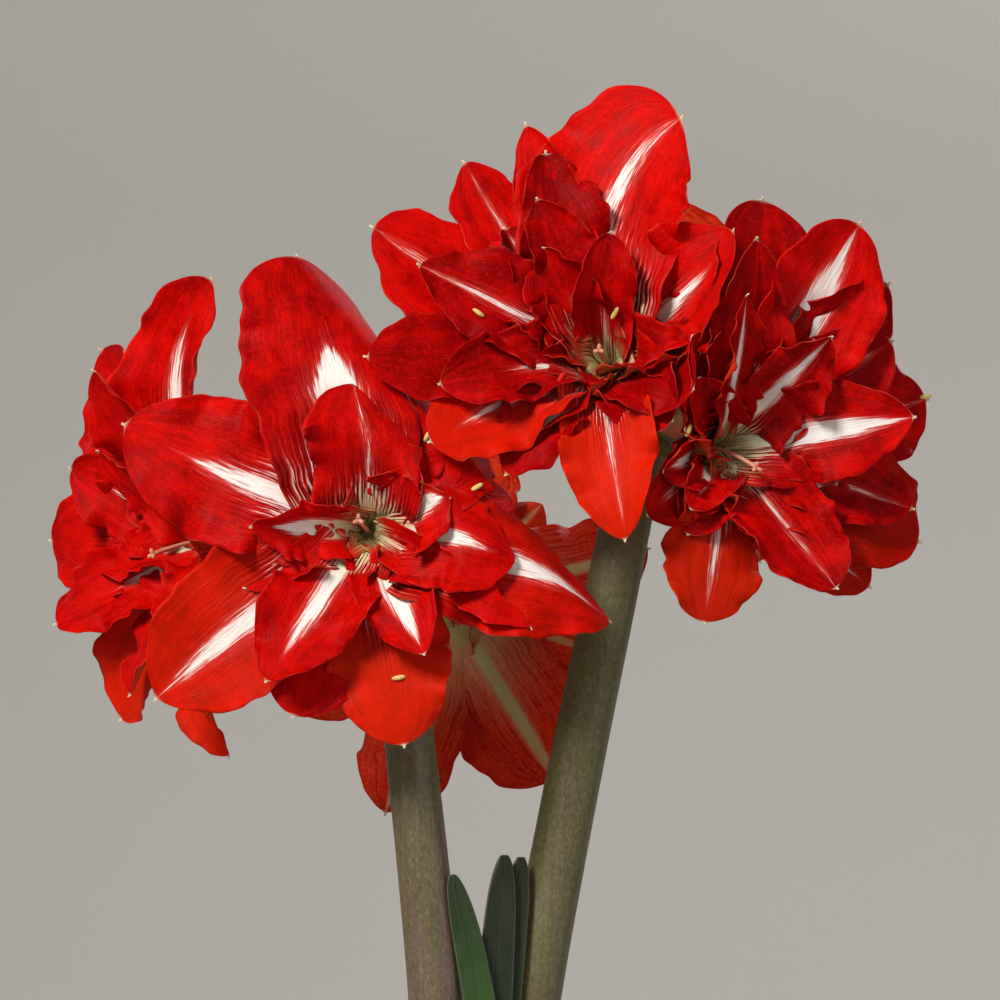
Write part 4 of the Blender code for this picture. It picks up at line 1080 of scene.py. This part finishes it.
# %% [markdown]
# With petals, finish, styles and anthers ready, each bloom is one loop over its rows. A petal could stay an
# object of its own, but on the plant a bloom grew as one body, and it is one node of the CAD model.

# %% Build the blooms
for bloom_name, (_, _, rows) in BLOOMS.items():
    petals = [make_petal(bloom_name, index, Petal(*row)) for index, row in enumerate(rows)]
    anthers = [anther(petals, *place) for place in ANTHERS.get(bloom_name, ())]
    parts = petals + anthers + style_parts(bloom_name, *STYLES[bloom_name])
    make_piece(bloom_name + "_petals", parts, petal_red, bloom_name)

# %% [markdown]
# A scape is a thick hollow stem, slightly fluted, olive green under a dusty purple bloom, with fine streaks
# along it. At its top the umbel parts into short flower stalks, and each ends in a three-sided ovary. Skin
# and Subdivision Surface modifiers on a few edges would grow such a branching stem, but its thickness would
# be hard to hold. Tubes along smooth curves through the CAD model's points keep both line and thickness. Each
# row gives the points from the bulb's neck up to the umbel, the radius at both ends, and the blooms it bears.

# %% The line of a stem
NECK_TOP, POCKET_DEPTH = 204.0, 10.0
LEFT_UMBEL, RIGHT_UMBEL = (-32.0, 0.0, 441.0), (65.7, 6.0, 521.0)
SCAPES = {
    "stalk_left": (((-14.0, -9.5, 195.0), (-15.2, -9.5, 250.0), (-16.9, -9.0, 297.0), (-21.7, -7.0, 349.0),
                    (-27.7, -3.5, 403.0), LEFT_UMBEL), (11.6, 9.6), LEFT_HEAD),
    "stalk_right": (((14.0, 9.5, 195.0), (16.6, 9.8, 250.0), (21.8, 9.8, 297.0), (37.8, 9.0, 383.0),
                     (51.6, 7.5, 450.6), RIGHT_UMBEL), (12.4, 10.2), RIGHT_HEAD),
}


def smooth_line(points, count):
    """Evenly numbered points on a Catmull-Rom curve, the cubic that passes through every given point."""
    knots = np.asarray(points, float)
    knots = np.vstack([2 * knots[0] - knots[1], knots, 2 * knots[-1] - knots[-2]])
    t = np.linspace(0, len(points) - 1, count)
    i = np.minimum(t.astype(int), len(points) - 2)
    f = (t - i)[:, None]
    p0, p1, p2, p3 = (knots[i + k] for k in range(4))
    return 0.5 * (2 * p1 + (p2 - p0) * f + (2 * p0 - 5 * p1 + 4 * p2 - p3) * f**2
                  + (3 * p1 - p0 - 3 * p2 + p3) * f**3)


for scape_name, (route, _, _) in SCAPES.items():
    steps = np.diff(smooth_line(route, 90), axis=0)
    print(f"{scape_name} is {np.linalg.norm(steps, axis=1).sum():.0f} mm long")

# %% [markdown]
# A flower stalk leaves the umbel towards its bloom and turns onto the bloom's axis. A straight rod would meet
# the flower at a corner. A cubic curve takes its start direction from the umbel and its end direction from
# the bloom, and the ovary swells on its last stretch.

# %% Flower stalks
PEDICEL_RADIUS, OVARY_RADIUS, OVARY_LENGTH, OVARY_SINK, COLLAR_RADIUS = 4.2, 6.6, 16.0, 1.5, 4.6
STALK_RINGS, OVARY_RINGS, STALK_SIDES = 24, 18, 24
OVARY_FLUTE, OVARY_LOBES = 0.05, 3


def flower_stalk(umbel, bloom):
    """A cubic curve out of the umbel, then rings whose radius swells by a sine of the ovary's length."""
    foot, facing = BLOOMS[bloom][:2]
    start, end, axis = np.asarray(umbel, float), np.asarray(foot, float), unit(facing)
    neck = end - axis * OVARY_LENGTH
    away, bow = unit(neck - start), np.linalg.norm(neck - start) / 3
    t = np.linspace(0, 1, STALK_RINGS)[:, None]
    first = start + (away + np.array((0.0, 0.0, 0.5))) * bow
    second = neck - axis * bow
    line = (1 - t) ** 3 * start + 3 * (1 - t) ** 2 * t * first + 3 * (1 - t) * t**2 * second + t**3 * neck
    share = np.linspace(0.0, 1.0, OVARY_RINGS)[1:]
    ovary = neck + np.outer(share, axis) * (OVARY_LENGTH + OVARY_SINK)
    swell = PEDICEL_RADIUS + (OVARY_RADIUS - PEDICEL_RADIUS) * np.sin(np.pi * share**0.8) ** 0.8
    swell[-1] = COLLAR_RADIUS
    radii = np.concatenate([np.full(STALK_RINGS, PEDICEL_RADIUS), swell])
    reference = (0.0, 0.0, 1.0) if abs(axis[2]) < 0.6 else (1.0, 0.0, 0.0)
    young = np.concatenate([t.ravel() * 0.5, 0.5 + share / 2])
    return tube(np.vstack([line, ovary]), radii, STALK_SIDES, reference, OVARY_FLUTE, OVARY_LOBES,
                young=young[:, None])


print("points in one flower stalk:", len(flower_stalk(LEFT_UMBEL, "bloom_front")[0]))

# %% [markdown]
# A stem's colour is two greens or two purples by its streaks, and which of them shows drifts with height and
# with a broad noise: purple below, olive above. Painting it with a gradient alone would look like a stick of
# candy. Tiny light and dark cells break it up, and the flower stalks are younger and greener.

# %% The stem finish
OLIVE_DARK, OLIVE_LIGHT = (0.060, 0.058, 0.012), (0.150, 0.135, 0.036)
PURPLE_DARK, PURPLE_LIGHT = (0.080, 0.038, 0.026), (0.190, 0.108, 0.080)
STEM_SPECK, STEM_PIT = (0.230, 0.190, 0.110), (0.050, 0.036, 0.018)
STEM_DUST, YOUNG_GREEN = (0.24, 0.19, 0.17), (0.22, 0.25, 0.075)


def scape_finish():
    """Streaked olive and purple, mixed by height and broad noise, with cells, dust and young green over."""
    paint = Finish("stalk_green")
    streak = paint.noise(paint.place((420.0, 420.0, 9.0)), 1.0, 3.0, 0.6)
    broad = paint.noise(paint.place((60.0, 60.0, 5.0)), 1.0, 2.0)
    cloud = paint.noise(paint.place(), 26.0, 4.0, 0.6)
    cells = paint.noise(paint.place((1.0, 1.0, 0.5)), 900.0, 3.0, 0.7)
    height = paint.add("SeparateXYZ", {0: paint.place()}).outputs[2]
    low = paint.mask(height, 0.26, 0.46, 0.80, 0.18)
    share = paint.mask(paint.plus(low, paint.times(paint.minus(broad, 0.5), 2.4)), 0.25, 0.95)
    colour = paint.mix(share, paint.mix(streak, OLIVE_DARK, OLIVE_LIGHT),
                       paint.mix(streak, PURPLE_DARK, PURPLE_LIGHT))
    colour = paint.mix(paint.mask(cells, 0.50, 0.68, 0.0, 0.50), colour, STEM_SPECK)
    colour = paint.mix(paint.mask(cells, 0.34, 0.48, 0.45, 0.0), colour, STEM_PIT)
    colour = paint.mix(paint.times(paint.mask(cloud, 0.45, 0.72), 0.16), colour, STEM_DUST)
    colour = paint.mix(paint.times(paint.value("young"), 0.55), colour, YOUNG_GREEN)
    grain = paint.bump(paint.noise(paint.place(), 1400.0, 2.0), 0.00008, 0.4, paint.bump(streak, 0.0005, 0.5))
    paint.set(Base_Color=colour, Roughness=paint.mask(cloud, 0.3, 0.7, 0.40, 0.56), Normal=grain,
              Subsurface_Weight=0.06, Subsurface_Radius=(0.002, 0.003, 0.001), Subsurface_Scale=1.0)
    return paint.material


stalk_green = scape_finish()
print("stem finish:", len(stalk_green.node_tree.nodes), "nodes")

# %% [markdown]
# Each scape is its stem, closed by a rounded crown above the umbel, and the three flower stalks of its head.
# They could be cut and welded to each other with a Boolean, but the joints are hidden under the flowers, so
# the stalks simply start inside the stem.

# %% Build the scapes
STEM_RINGS, STEM_SIDES, STEM_FLUTE, STEM_FLUTES = 90, 48, 0.012, 9
CROWN_RISE, CROWN_SHARE = (1.2, 2.6, 3.6, 4.0), np.array((0.98, 0.86, 0.60, 0.25))

for scape_name, (route, radii, head) in SCAPES.items():
    line = smooth_line(route, STEM_RINGS)
    crown = line[-1] + np.outer(CROWN_RISE, (0.0, 0.0, 1.0))
    thickness = np.concatenate([np.linspace(*radii, STEM_RINGS), radii[1] * CROWN_SHARE])
    stem = tube(np.vstack([line, crown]), thickness, STEM_SIDES,
                flute=STEM_FLUTE, flutes=STEM_FLUTES, young=0.0)
    parts = [stem] + [flower_stalk(route[-1], bloom) for bloom in head]
    make_piece(scape_name + "_stems", parts, stalk_green, scape_name)

# %% [markdown]
# The young leaves are straps with a rounded tip, a little trough-shaped, and darker than the stems. Their
# veins run straight along them. A box could be bent to that shape with a lattice, but a strap is easy to say
# in two numbers: u across it and v along it. Each row gives the foot, the tip, the width, a sideways bow, and
# the shade, from 0 for the bright front leaf to 1 for a dark one.

# %% Leaf shape
LEAVES = {
    "leaf_front": ((3.0, -15.0), (-10.0, -14.0, 348.5), 13.0, 4.4, 0.0),
    "leaf_middle": ((6.0, -9.5), (10.6, -7.0, 355.6), 14.0, -1.7, 1.0),
    "leaf_right": ((7.5, -5.2), (17.2, -3.2, 354.4), 13.0, -1.3, 0.8),
}
LEAF_FACING, LEAF_LENGTH, LEAF_SINK = -80.0, 152.0, 2.0
LEAF_THICKNESS, LEAF_THINNING = 1.5, 0.7


def leaf_surface(foot, tip, width, bow, u, v):
    """From foot to tip, leaning by v^1.8 and bowed sideways by a sine; the section is a parabola.

    The half-width eases out over the first part, and near the tip falls as the root of 1 minus v^9.
    """
    start, end = np.array((*foot, NECK_TOP - POCKET_DEPTH + LEAF_SINK)), np.asarray(tip, float)
    turn = np.radians(LEAF_FACING)
    side = np.array((-np.sin(turn), np.cos(turn), 0.0))
    face = np.array((np.cos(turn), np.sin(turn), 0.0))
    line = start + (end - start) * np.stack([v**1.8, v**1.8, v], axis=-1)
    line = line + (bow * np.sin(np.pi * v))[..., None] * side
    half = width / 2 * (0.62 + 0.38 * smooth(v / 0.4)) * np.sqrt(np.clip(1.0 - (v / 1.004) ** 9, 0.0, 1.0))
    trough = u**2 * half * 0.22 - 0.35 * np.exp(-((u / 0.08) ** 2))
    return line + (u * half)[..., None] * side + trough[..., None] * face


for leaf_name, (foot, tip, width, bow, _) in LEAVES.items():
    middle = leaf_surface(foot, tip, width, bow, *spread_grid(2, 40))[:, 1]
    print(f"{leaf_name} is {np.linalg.norm(np.diff(middle, axis=0), axis=1).sum():.0f} mm long")

# %% [markdown]
# A leaf's green is streaked along its veins and darker towards its tip, with a thin brownish rim. It is
# smoother than a petal, so it keeps its shine. One finish serves all three, and mixes a bright and a dark
# green by the shade that each leaf carries.

# %% Leaf finish
LEAF_BRIGHT = (0.016, 0.050, 0.005), (0.042, 0.115, 0.014)
LEAF_DARK = (0.009, 0.016, 0.006), (0.026, 0.038, 0.014)
LEAF_TIP, LEAF_DUST, LEAF_RIM = (0.018, 0.020, 0.009), (0.08, 0.10, 0.06), (0.16, 0.14, 0.09)


def leaf_finish():
    """Bright or dark green by the leaf's shade, streaked along its veins, darker at the tip, brown-rimmed."""
    paint = Finish("leaf_green")
    across, along, shade = paint.value("vein"), paint.value("along"), paint.value("shade")
    lines = paint.vector(paint.times(across, 26.0), paint.times(along, 0.02), shade)
    veins = paint.noise(lines, 1.0, 2.0, 0.6)
    cloud = paint.noise(paint.place(), 60.0, 3.0)
    colour = paint.mix(shade, paint.mix(veins, *LEAF_BRIGHT), paint.mix(veins, *LEAF_DARK))
    colour = paint.mix(paint.times(paint.mask(along, 95.0, 150.0), 0.7), colour, LEAF_TIP)
    colour = paint.mix(paint.times(paint.mask(cloud, 0.5, 0.7), 0.10), colour, LEAF_DUST)
    rim = paint.mask(paint.calc("ABSOLUTE", across), 0.93, 1.0, 0.0, 0.5)
    colour = paint.mix(rim, colour, LEAF_RIM)
    paint.set(Base_Color=colour, Roughness=0.34, Normal=paint.bump(veins, 0.0006, 0.8),
              Subsurface_Weight=0.08, Subsurface_Radius=(0.001, 0.002, 0.0006), Subsurface_Scale=1.0)
    return paint.material


leaf_green = leaf_finish()
for leaf_name, (foot, tip, width, bow, shade) in LEAVES.items():
    u, v = spread_grid(20, 90, tip_power=1.4)
    points = leaf_surface(foot, tip, width, bow, u, v)
    thickness = LEAF_THICKNESS - LEAF_THINNING * np.abs(u) ** 2
    blade = sheet(points, thickness, vein=u, along=v * LEAF_LENGTH, shade=shade)
    make_piece(leaf_name + "_blade", [blade], leaf_green, leaf_name)

# %% [markdown]
# The bulb is wrapped in dry papery scales, called the tunic. Sculpting would give their torn edges one at a
# time. Here the inner body is turned, and over it lie several sheets that follow its outline, each round part
# of the bulb and each with its upper edge torn by sine waves at a different height. A scale's row gives its
# number, its first angle and sweep in degrees, the heights of its two edges, and its lift off the bulb.

# %% Bulb shape
BULB_BOTTOM, BULB_RADIUS, BULB_WIDEST, NECK_RADIUS = 72.0, 50.0, 122.0, 29.0
BULB_OUTLINE = np.array((
    (20.0, BULB_BOTTOM), (24.0, BULB_BOTTOM + 5.0), (BULB_RADIUS - 13.0, BULB_WIDEST - 34.0),
    (BULB_RADIUS - 3.5, BULB_WIDEST - 18.0), (BULB_RADIUS, BULB_WIDEST),
    (BULB_RADIUS - 4.5, BULB_WIDEST + 24.0), (NECK_RADIUS + 8.5, NECK_TOP - 40.0),
    (NECK_RADIUS + 2.0, NECK_TOP - 26.0), (NECK_RADIUS - 0.8, NECK_TOP - 14.0),
    (NECK_RADIUS - 0.5, NECK_TOP - 2.0),
))
SCALE_THICKNESS, NECK_STARTS, CORE_INSET = 0.35, 190.0, 0.6
SCALES = (
    (1, 0, 320, 96.0, 168.0, 0.6), (2, 150, 300, 92.0, 182.0, 0.2), (3, 60, 210, 110.0, 156.0, 1.1),
    (4, 250, 190, 104.0, 192.0, 0.9), (5, 20, 330, 160.0, 203.0, 0.0), (6, 200, 330, 176.0, 205.0, -1.6),
)


def bulb_radius(height):
    """Radius of the bulb at a height, by a smooth curve through its outline's points."""
    line = smooth_line(BULB_OUTLINE, 200)
    return np.interp(height, line[:, 1], line[:, 0])


def bulb_core():
    """The inner body: the outline a little inwards, and a shallow hollow at the neck's top."""
    heights = np.linspace(BULB_BOTTOM, NECK_TOP - 3.0, 60)
    profile = np.vstack([[(1.0, BULB_BOTTOM)], np.stack([bulb_radius(heights) - CORE_INSET, heights], axis=1),
                         [(NECK_RADIUS - 5.0, NECK_TOP - 4.0), (NECK_RADIUS - 7.0, NECK_TOP - 9.0),
                          (1.0, NECK_TOP - 9.5)]])
    return turned(profile, 96, layer=0.0, round=np.linspace(0.0, 88.0, 96)[None], rise=profile[:, 1:])


def bulb_scale(layer, start_angle, sweep, low, high, lift):
    """A papery scale round part of the bulb: radius of the bulb, plus its lift, ripples and a flared edge.

    Its upper edge is torn by three sine waves of the angle, less so near the neck.
    """
    u, v = spread_grid(120, 40)
    turn = np.radians(start_angle + sweep * (u + 1.0) / 2)
    torn = (3.0 * np.sin(9.0 * turn + layer) + 2.0 * np.sin(23.0 * turn + 2.0 * layer)
            + 1.2 * np.sin(51.0 * turn))
    top = high + torn * (0.6 if high < NECK_STARTS else 0.3)
    height = low + (top - low) * v
    ripple = 0.35 * np.sin(31.0 * turn + layer) + 0.25 * np.sin(67.0 * turn + 0.05 * height)
    flare = 2.6 * smooth((v - 0.86) / 0.14) * (0.4 + 0.6 * np.sin(5.0 * turn + 1.7 * layer) ** 2)
    tucked = 0.4 * smooth((np.abs(u) - 0.94) / 0.06)
    radius = bulb_radius(height) + lift + ripple * 0.5 + flare - tucked
    points = np.stack([radius * np.cos(turn), radius * np.sin(turn), height], axis=-1)
    return sheet(points, SCALE_THICKNESS, layer=float(layer), round=turn * 14.0, rise=height)


print("bulb's widest radius in mm:", round(bulb_radius(np.linspace(BULB_BOTTOM, NECK_TOP, 200)).max(), 1))

# %% [markdown]
# Dry scales are fibres from foot to neck, glossy brown where whole and pale where worn. Their fibres follow
# the scale's own angle and height, so the finish reads those. It turns greenish at the neck, where the bulb
# is alive, and is soiled where the mix touches it.

# %% Bulb finish
TUNIC_BROWN = (0.060, 0.018, 0.007), (0.300, 0.120, 0.045)
TUNIC_PALE = (0.250, 0.120, 0.050), (0.520, 0.330, 0.170)
NECK_GREEN = (0.20, 0.19, 0.07), (0.42, 0.36, 0.19)
SOILED = (0.035, 0.022, 0.014)


def bulb_finish():
    """Brown and pale fibres in patches, green at the neck, dark by the soil."""
    paint = Finish("bulb_tunic")
    layer, turn, rise = paint.value("layer"), paint.value("round"), paint.value("rise")
    fibre = paint.noise(paint.vector(paint.times(turn, 3.2), paint.times(rise, 0.05), layer), 1.0, 4.0, 0.65)
    patch = paint.noise(paint.place(), 42.0, 4.0, 0.6)
    brown, pale = paint.mix(fibre, *TUNIC_BROWN), paint.mix(fibre, *TUNIC_PALE)
    colour = paint.mix(paint.mask(patch, 0.42, 0.64), brown, pale)
    colour = paint.mix(paint.mask(rise, 176.0, 206.0, 0.0, 0.75), colour, paint.mix(fibre, *NECK_GREEN))
    soiled = paint.mask(paint.plus(rise, paint.times(patch, 12.0)), 140.0, 154.0, 0.75, 0.0)
    colour = paint.mix(soiled, colour, SOILED)
    paint.set(Base_Color=colour, Roughness=paint.mask(patch, 0.3, 0.7, 0.38, 0.62), Sheen_Weight=0.1,
              Normal=paint.bump(fibre, 0.0006, 0.7))
    return paint.material


scales = [bulb_core()] + [bulb_scale(*row) for row in SCALES]
make_piece("bulb_scales", scales, bulb_finish(), "bulb")

# %% [markdown]
# Potting mix is crumbs of peat, bits of bark and a few pale grains. A particle system could scatter copies
# of a crumb, but the copies would have to be made real to become part of a mesh. So a gently heaped surface
# carries thousands of small lumps of six faces, and all of them are turned, sized and placed at once by
# arrays. The pot's sizes are named here already, because the soil has to fit it.

# %% Soil shape
SOIL_LEVEL, CLEARANCE = 137.0, 0.3
POT_HEIGHT, POT_RIM_RADIUS, POT_FOOT_RADIUS, POT_WALL, POT_FLOOR = 150.0, 88.0, 62.0, 6.0, 9.0
RIM_BAND_HEIGHT, RIM_BAND_PROUD = 24.0, 4.0
BULB_HOLE, HEAP_EDGE_HEIGHT = 47.0, 133.0


def pot_inner_radius(height):
    """Inside radius of the pot's straight tapered wall."""
    share = (height - POT_FLOOR) / (POT_HEIGHT - POT_FLOOR)
    return (POT_FOOT_RADIUS - POT_WALL) + (POT_RIM_RADIUS - RIM_BAND_PROUD - POT_FOOT_RADIUS) * share


def soil_height(x, y):
    """Height of the heap: a shallow dome with a few sine bumps."""
    distance = np.hypot(x, y)
    bumps = 0.7 * np.sin(x * 0.21 + 1.0) * np.sin(y * 0.18) + 0.5 * np.sin(x * 0.47) * np.sin(y * 0.53 + 2.0)
    return SOIL_LEVEL + 0.4 - 4.0 * smooth((distance - 55.0) / 20.0) + bumps


def soil_body():
    """The heap as a turned solid: its surface, and the cone of mix down to the pot's floor."""
    bottom, corner = POT_FLOOR + CLEARANCE, POT_FLOOR + 4.0
    radii = np.linspace(BULB_HOLE, pot_inner_radius(HEAP_EDGE_HEIGHT) - CLEARANCE, 26)
    wall = [(1.0, bottom), (pot_inner_radius(POT_FLOOR) - 4.6, bottom),
            (pot_inner_radius(corner) - CLEARANCE, corner)]
    seat = [(BULB_HOLE, SOIL_LEVEL - 2.0), (30.0, BULB_BOTTOM - 1.0), (1.0, BULB_BOTTOM - 2.0)]
    profile = np.vstack([wall, np.stack([radii[::-1], np.full(26, SOIL_LEVEL)], axis=1), seat])
    points, faces, given = turned(profile, 120, tint=0.0)
    top = (points[:, 2] > SOIL_LEVEL - 0.5) & (np.hypot(points[:, 0], points[:, 1]) > BULB_HOLE - 1.0)
    points[top, 2] = soil_height(points[top, 0], points[top, 1])
    return points, faces, given


heap = soil_body()
print("points in the heap:", len(heap[0]))

# %% [markdown]
# A crumb is a cube whose eight corners are pushed in by chance, which is enough for a lump of 2 mm. Bark is
# flatter and larger, chalk is rare. Even chances of the squared distance spread them evenly over the ring
# between the bulb and the pot.

# %% Crumbs
PEAT_TINT, BARK_TINT, CHALK_TINT, TINT_SPREAD = 0.12, 0.62, 0.95, 0.1
CRUMB_RING, CRUMB_SINK = (49.5, 73.0), (-0.4, 0.6)


def turn_matrices(q):
    """Rotation matrices from an array of unit quaternions, by the usual nine products of their parts."""
    w, x, y, z = q.T
    return np.stack([np.stack([1 - 2 * (y * y + z * z), 2 * (x * y - z * w), 2 * (x * z + y * w)], -1),
                     np.stack([2 * (x * y + z * w), 1 - 2 * (x * x + z * z), 2 * (y * z - x * w)], -1),
                     np.stack([2 * (x * z - y * w), 2 * (y * z + x * w), 1 - 2 * (x * x + y * y)], -1)], 1)


def crumbs(count, seed, size_range, flatness, tint):
    """Cubes with their eight corners pushed in by chance, each turned and placed by chance on the heap."""
    rng = np.random.default_rng(seed)
    corner = unit(np.array([(a, b, c) for a in (-1, 1) for b in (-1, 1) for c in (-1, 1)], float))
    quads = np.array(((0, 1, 3, 2), (4, 6, 7, 5), (0, 4, 5, 1), (2, 3, 7, 6), (0, 2, 6, 4), (1, 5, 7, 3)))
    shape = corner[None] * rng.uniform(0.55, 1.0, (count, 8, 1))
    size = rng.uniform(*size_range, (count, 1, 1)) * np.array((1.0, 1.0, flatness))
    shape = shape * (size * rng.uniform(0.6, 1.0, (count, 1, 3)))
    shape = np.einsum("nij,nkj->nki", turn_matrices(unit(rng.normal(size=(count, 4)))), shape)
    near, far = CRUMB_RING
    distance = np.sqrt(rng.uniform(near**2, far**2, count))
    angle = rng.uniform(0, 2 * np.pi, count)
    x, y = distance * np.cos(angle), distance * np.sin(angle)
    place = np.stack([x, y, soil_height(x, y) + rng.uniform(*CRUMB_SINK, count)], axis=1)
    points = (shape + place[:, None]).reshape(-1, 3)
    faces = (quads[None] + 8 * np.arange(count)[:, None, None]).reshape(-1, 4)
    return points, [faces], {"tint": np.repeat(tint + rng.uniform(-TINT_SPREAD, TINT_SPREAD, count), 8)}


mix = [heap, crumbs(2600, 3, (0.7, 1.9), 0.9, PEAT_TINT), crumbs(260, 5, (1.8, 4.2), 0.35, BARK_TINT),
       crumbs(110, 7, (0.9, 1.9), 0.9, CHALK_TINT)]
print("crumbs of peat, bark and chalk:", [len(points) // 8 for points, _, _ in mix[1:]])

# %% [markdown]
# The crumbs differ by one number, their tint: peat is low, bark in the middle, chalk high. Three materials
# would do the same with three slots. One finish that reads the tint keeps the piece simple.

# %% Soil finish
PEAT, PEAT_DAMP = ((0.010, 0.007, 0.005), (0.075, 0.045, 0.028)), (0.050, 0.028, 0.016)
BARK = (0.060, 0.030, 0.015), (0.230, 0.120, 0.060)
CHALK = (0.45, 0.43, 0.40), (0.80, 0.78, 0.74)


def soil_finish():
    """Peat, bark or chalk by the tint, each mixed from dark to light by a fine grain."""
    paint = Finish("potting_mix")
    grain = paint.noise(paint.place(), 520.0, 5.0, 0.7)
    cloud = paint.noise(paint.place(), 60.0, 3.0)
    tint = paint.value("tint")
    peat = paint.mix(paint.mask(cloud, 0.35, 0.7, 0.0, 0.5), paint.mix(grain, *PEAT), PEAT_DAMP)
    colour = paint.mix(paint.mask(tint, 0.35, 0.5), peat, paint.mix(grain, *BARK))
    colour = paint.mix(paint.mask(tint, 0.75, 0.85), colour, paint.mix(grain, *CHALK))
    paint.set(Base_Color=colour, Roughness=0.92, Normal=paint.bump(grain, 0.0012, 0.9))
    return paint.material


make_piece("soil_crumbs", mix, soil_finish(), "soil")

# %% [markdown]
# The pot is thrown clay, which a potter shapes by turning, so its wall is one profile turned about the axis.
# A cylinder with a Bevel modifier would round every edge alike. Here each corner of the profile is replaced
# by a short curve before it is turned, and long straight stretches get more points, so that the walls shade
# evenly.

# %% Pot shape
EDGE_ROUNDING, PROFILE_STEP = 1.4, 2.0


def rounded(corners, radius, steps=6):
    """Replaces each inner corner of a profile by a short quadratic curve that starts a radius before it."""
    corners = np.asarray(corners, float)
    before = corners[1:-1] + unit(corners[:-2] - corners[1:-1]) * radius
    after = corners[1:-1] + unit(corners[2:] - corners[1:-1]) * radius
    t = np.linspace(0.0, 1.0, steps)[None, :, None]
    arcs = (1 - t) ** 2 * before[:, None] + 2 * (1 - t) * t * corners[1:-1, None] + t**2 * after[:, None]
    return np.vstack([corners[:1], arcs.reshape(-1, 2), corners[-1:]])


def subdivided(profile, step):
    """The same profile with points no further apart than a step."""
    lengths = np.linalg.norm(np.diff(profile, axis=0), axis=1)
    run = np.concatenate([[0.0], np.cumsum(lengths)])
    fine = np.unique(np.concatenate([run, np.arange(0.0, run[-1], step)]))
    return np.stack([np.interp(fine, run, profile[:, k]) for k in range(2)], axis=1)


band_foot = POT_HEIGHT - RIM_BAND_HEIGHT
body_rim = POT_RIM_RADIUS - RIM_BAND_PROUD
at_band = POT_FOOT_RADIUS + (body_rim - POT_FOOT_RADIUS) * band_foot / POT_HEIGHT
pot_profile = rounded((
    (1.0, 0.0), (POT_FOOT_RADIUS - 1.0, 0.0), (POT_FOOT_RADIUS + 0.5, 4.0), (at_band, band_foot - 2.0),
    (POT_RIM_RADIUS - 2.0, band_foot), (POT_RIM_RADIUS, POT_HEIGHT),
    (pot_inner_radius(POT_HEIGHT), POT_HEIGHT), (pot_inner_radius(POT_FLOOR + 6.0), POT_FLOOR + 6.0),
    (pot_inner_radius(POT_FLOOR) - 5.0, POT_FLOOR), (1.0, POT_FLOOR),
), EDGE_ROUNDING)
print("points on the pot's profile:", len(subdivided(pot_profile, PROFILE_STEP)))

# %% [markdown]
# The glaze is a pale satin. A plain grey would look like plastic, so slow clouds vary it, the rings of the
# potter's fingers show through a little darker, and a few iron specks have come to the surface.

# %% Pot finish
GLAZE_DARK, GLAZE_LIGHT, GLAZE_RING = (0.50, 0.48, 0.44), (0.66, 0.64, 0.59), (0.42, 0.39, 0.34)
IRON_SPECK = (0.13, 0.08, 0.045)


def pot_finish():
    """Cloudy glaze, rings by noise that is flat along Z, and specks where cell centres meet a rare noise."""
    paint = Finish("pot_glaze")
    cloud = paint.noise(paint.place(), 22.0, 4.0, 0.55)
    specks = paint.add("TexVoronoi", {"Vector": paint.place(), "Scale": 330.0}).outputs["Distance"]
    rare = paint.noise(paint.place(), 120.0, 1.0)
    rings = paint.noise(paint.place((6.0, 6.0, 260.0)), 1.0, 3.0, 0.5)
    glaze = paint.mix(paint.mask(cloud, 0.3, 0.7), GLAZE_DARK, GLAZE_LIGHT)
    glaze = paint.mix(paint.times(paint.mask(rings, 0.4, 0.7), 0.18), glaze, GLAZE_RING)
    dots = paint.times(paint.mask(specks, 0.10, 0.18, 1.0, 0.0), paint.mask(rare, 0.55, 0.62))
    glaze = paint.mix(paint.times(dots, 0.75), glaze, IRON_SPECK)
    paint.set(Base_Color=glaze, Roughness=paint.mask(cloud, 0.3, 0.7, 0.30, 0.44),
              Coat_Weight=0.25, Coat_Roughness=0.25, Normal=paint.bump(rings, 0.0006, 0.5))
    return paint.material


pot_wall = turned(subdivided(pot_profile, PROFILE_STEP), 160)
make_piece("pot_body", [pot_wall], pot_finish(), "pot")

# %% [markdown]
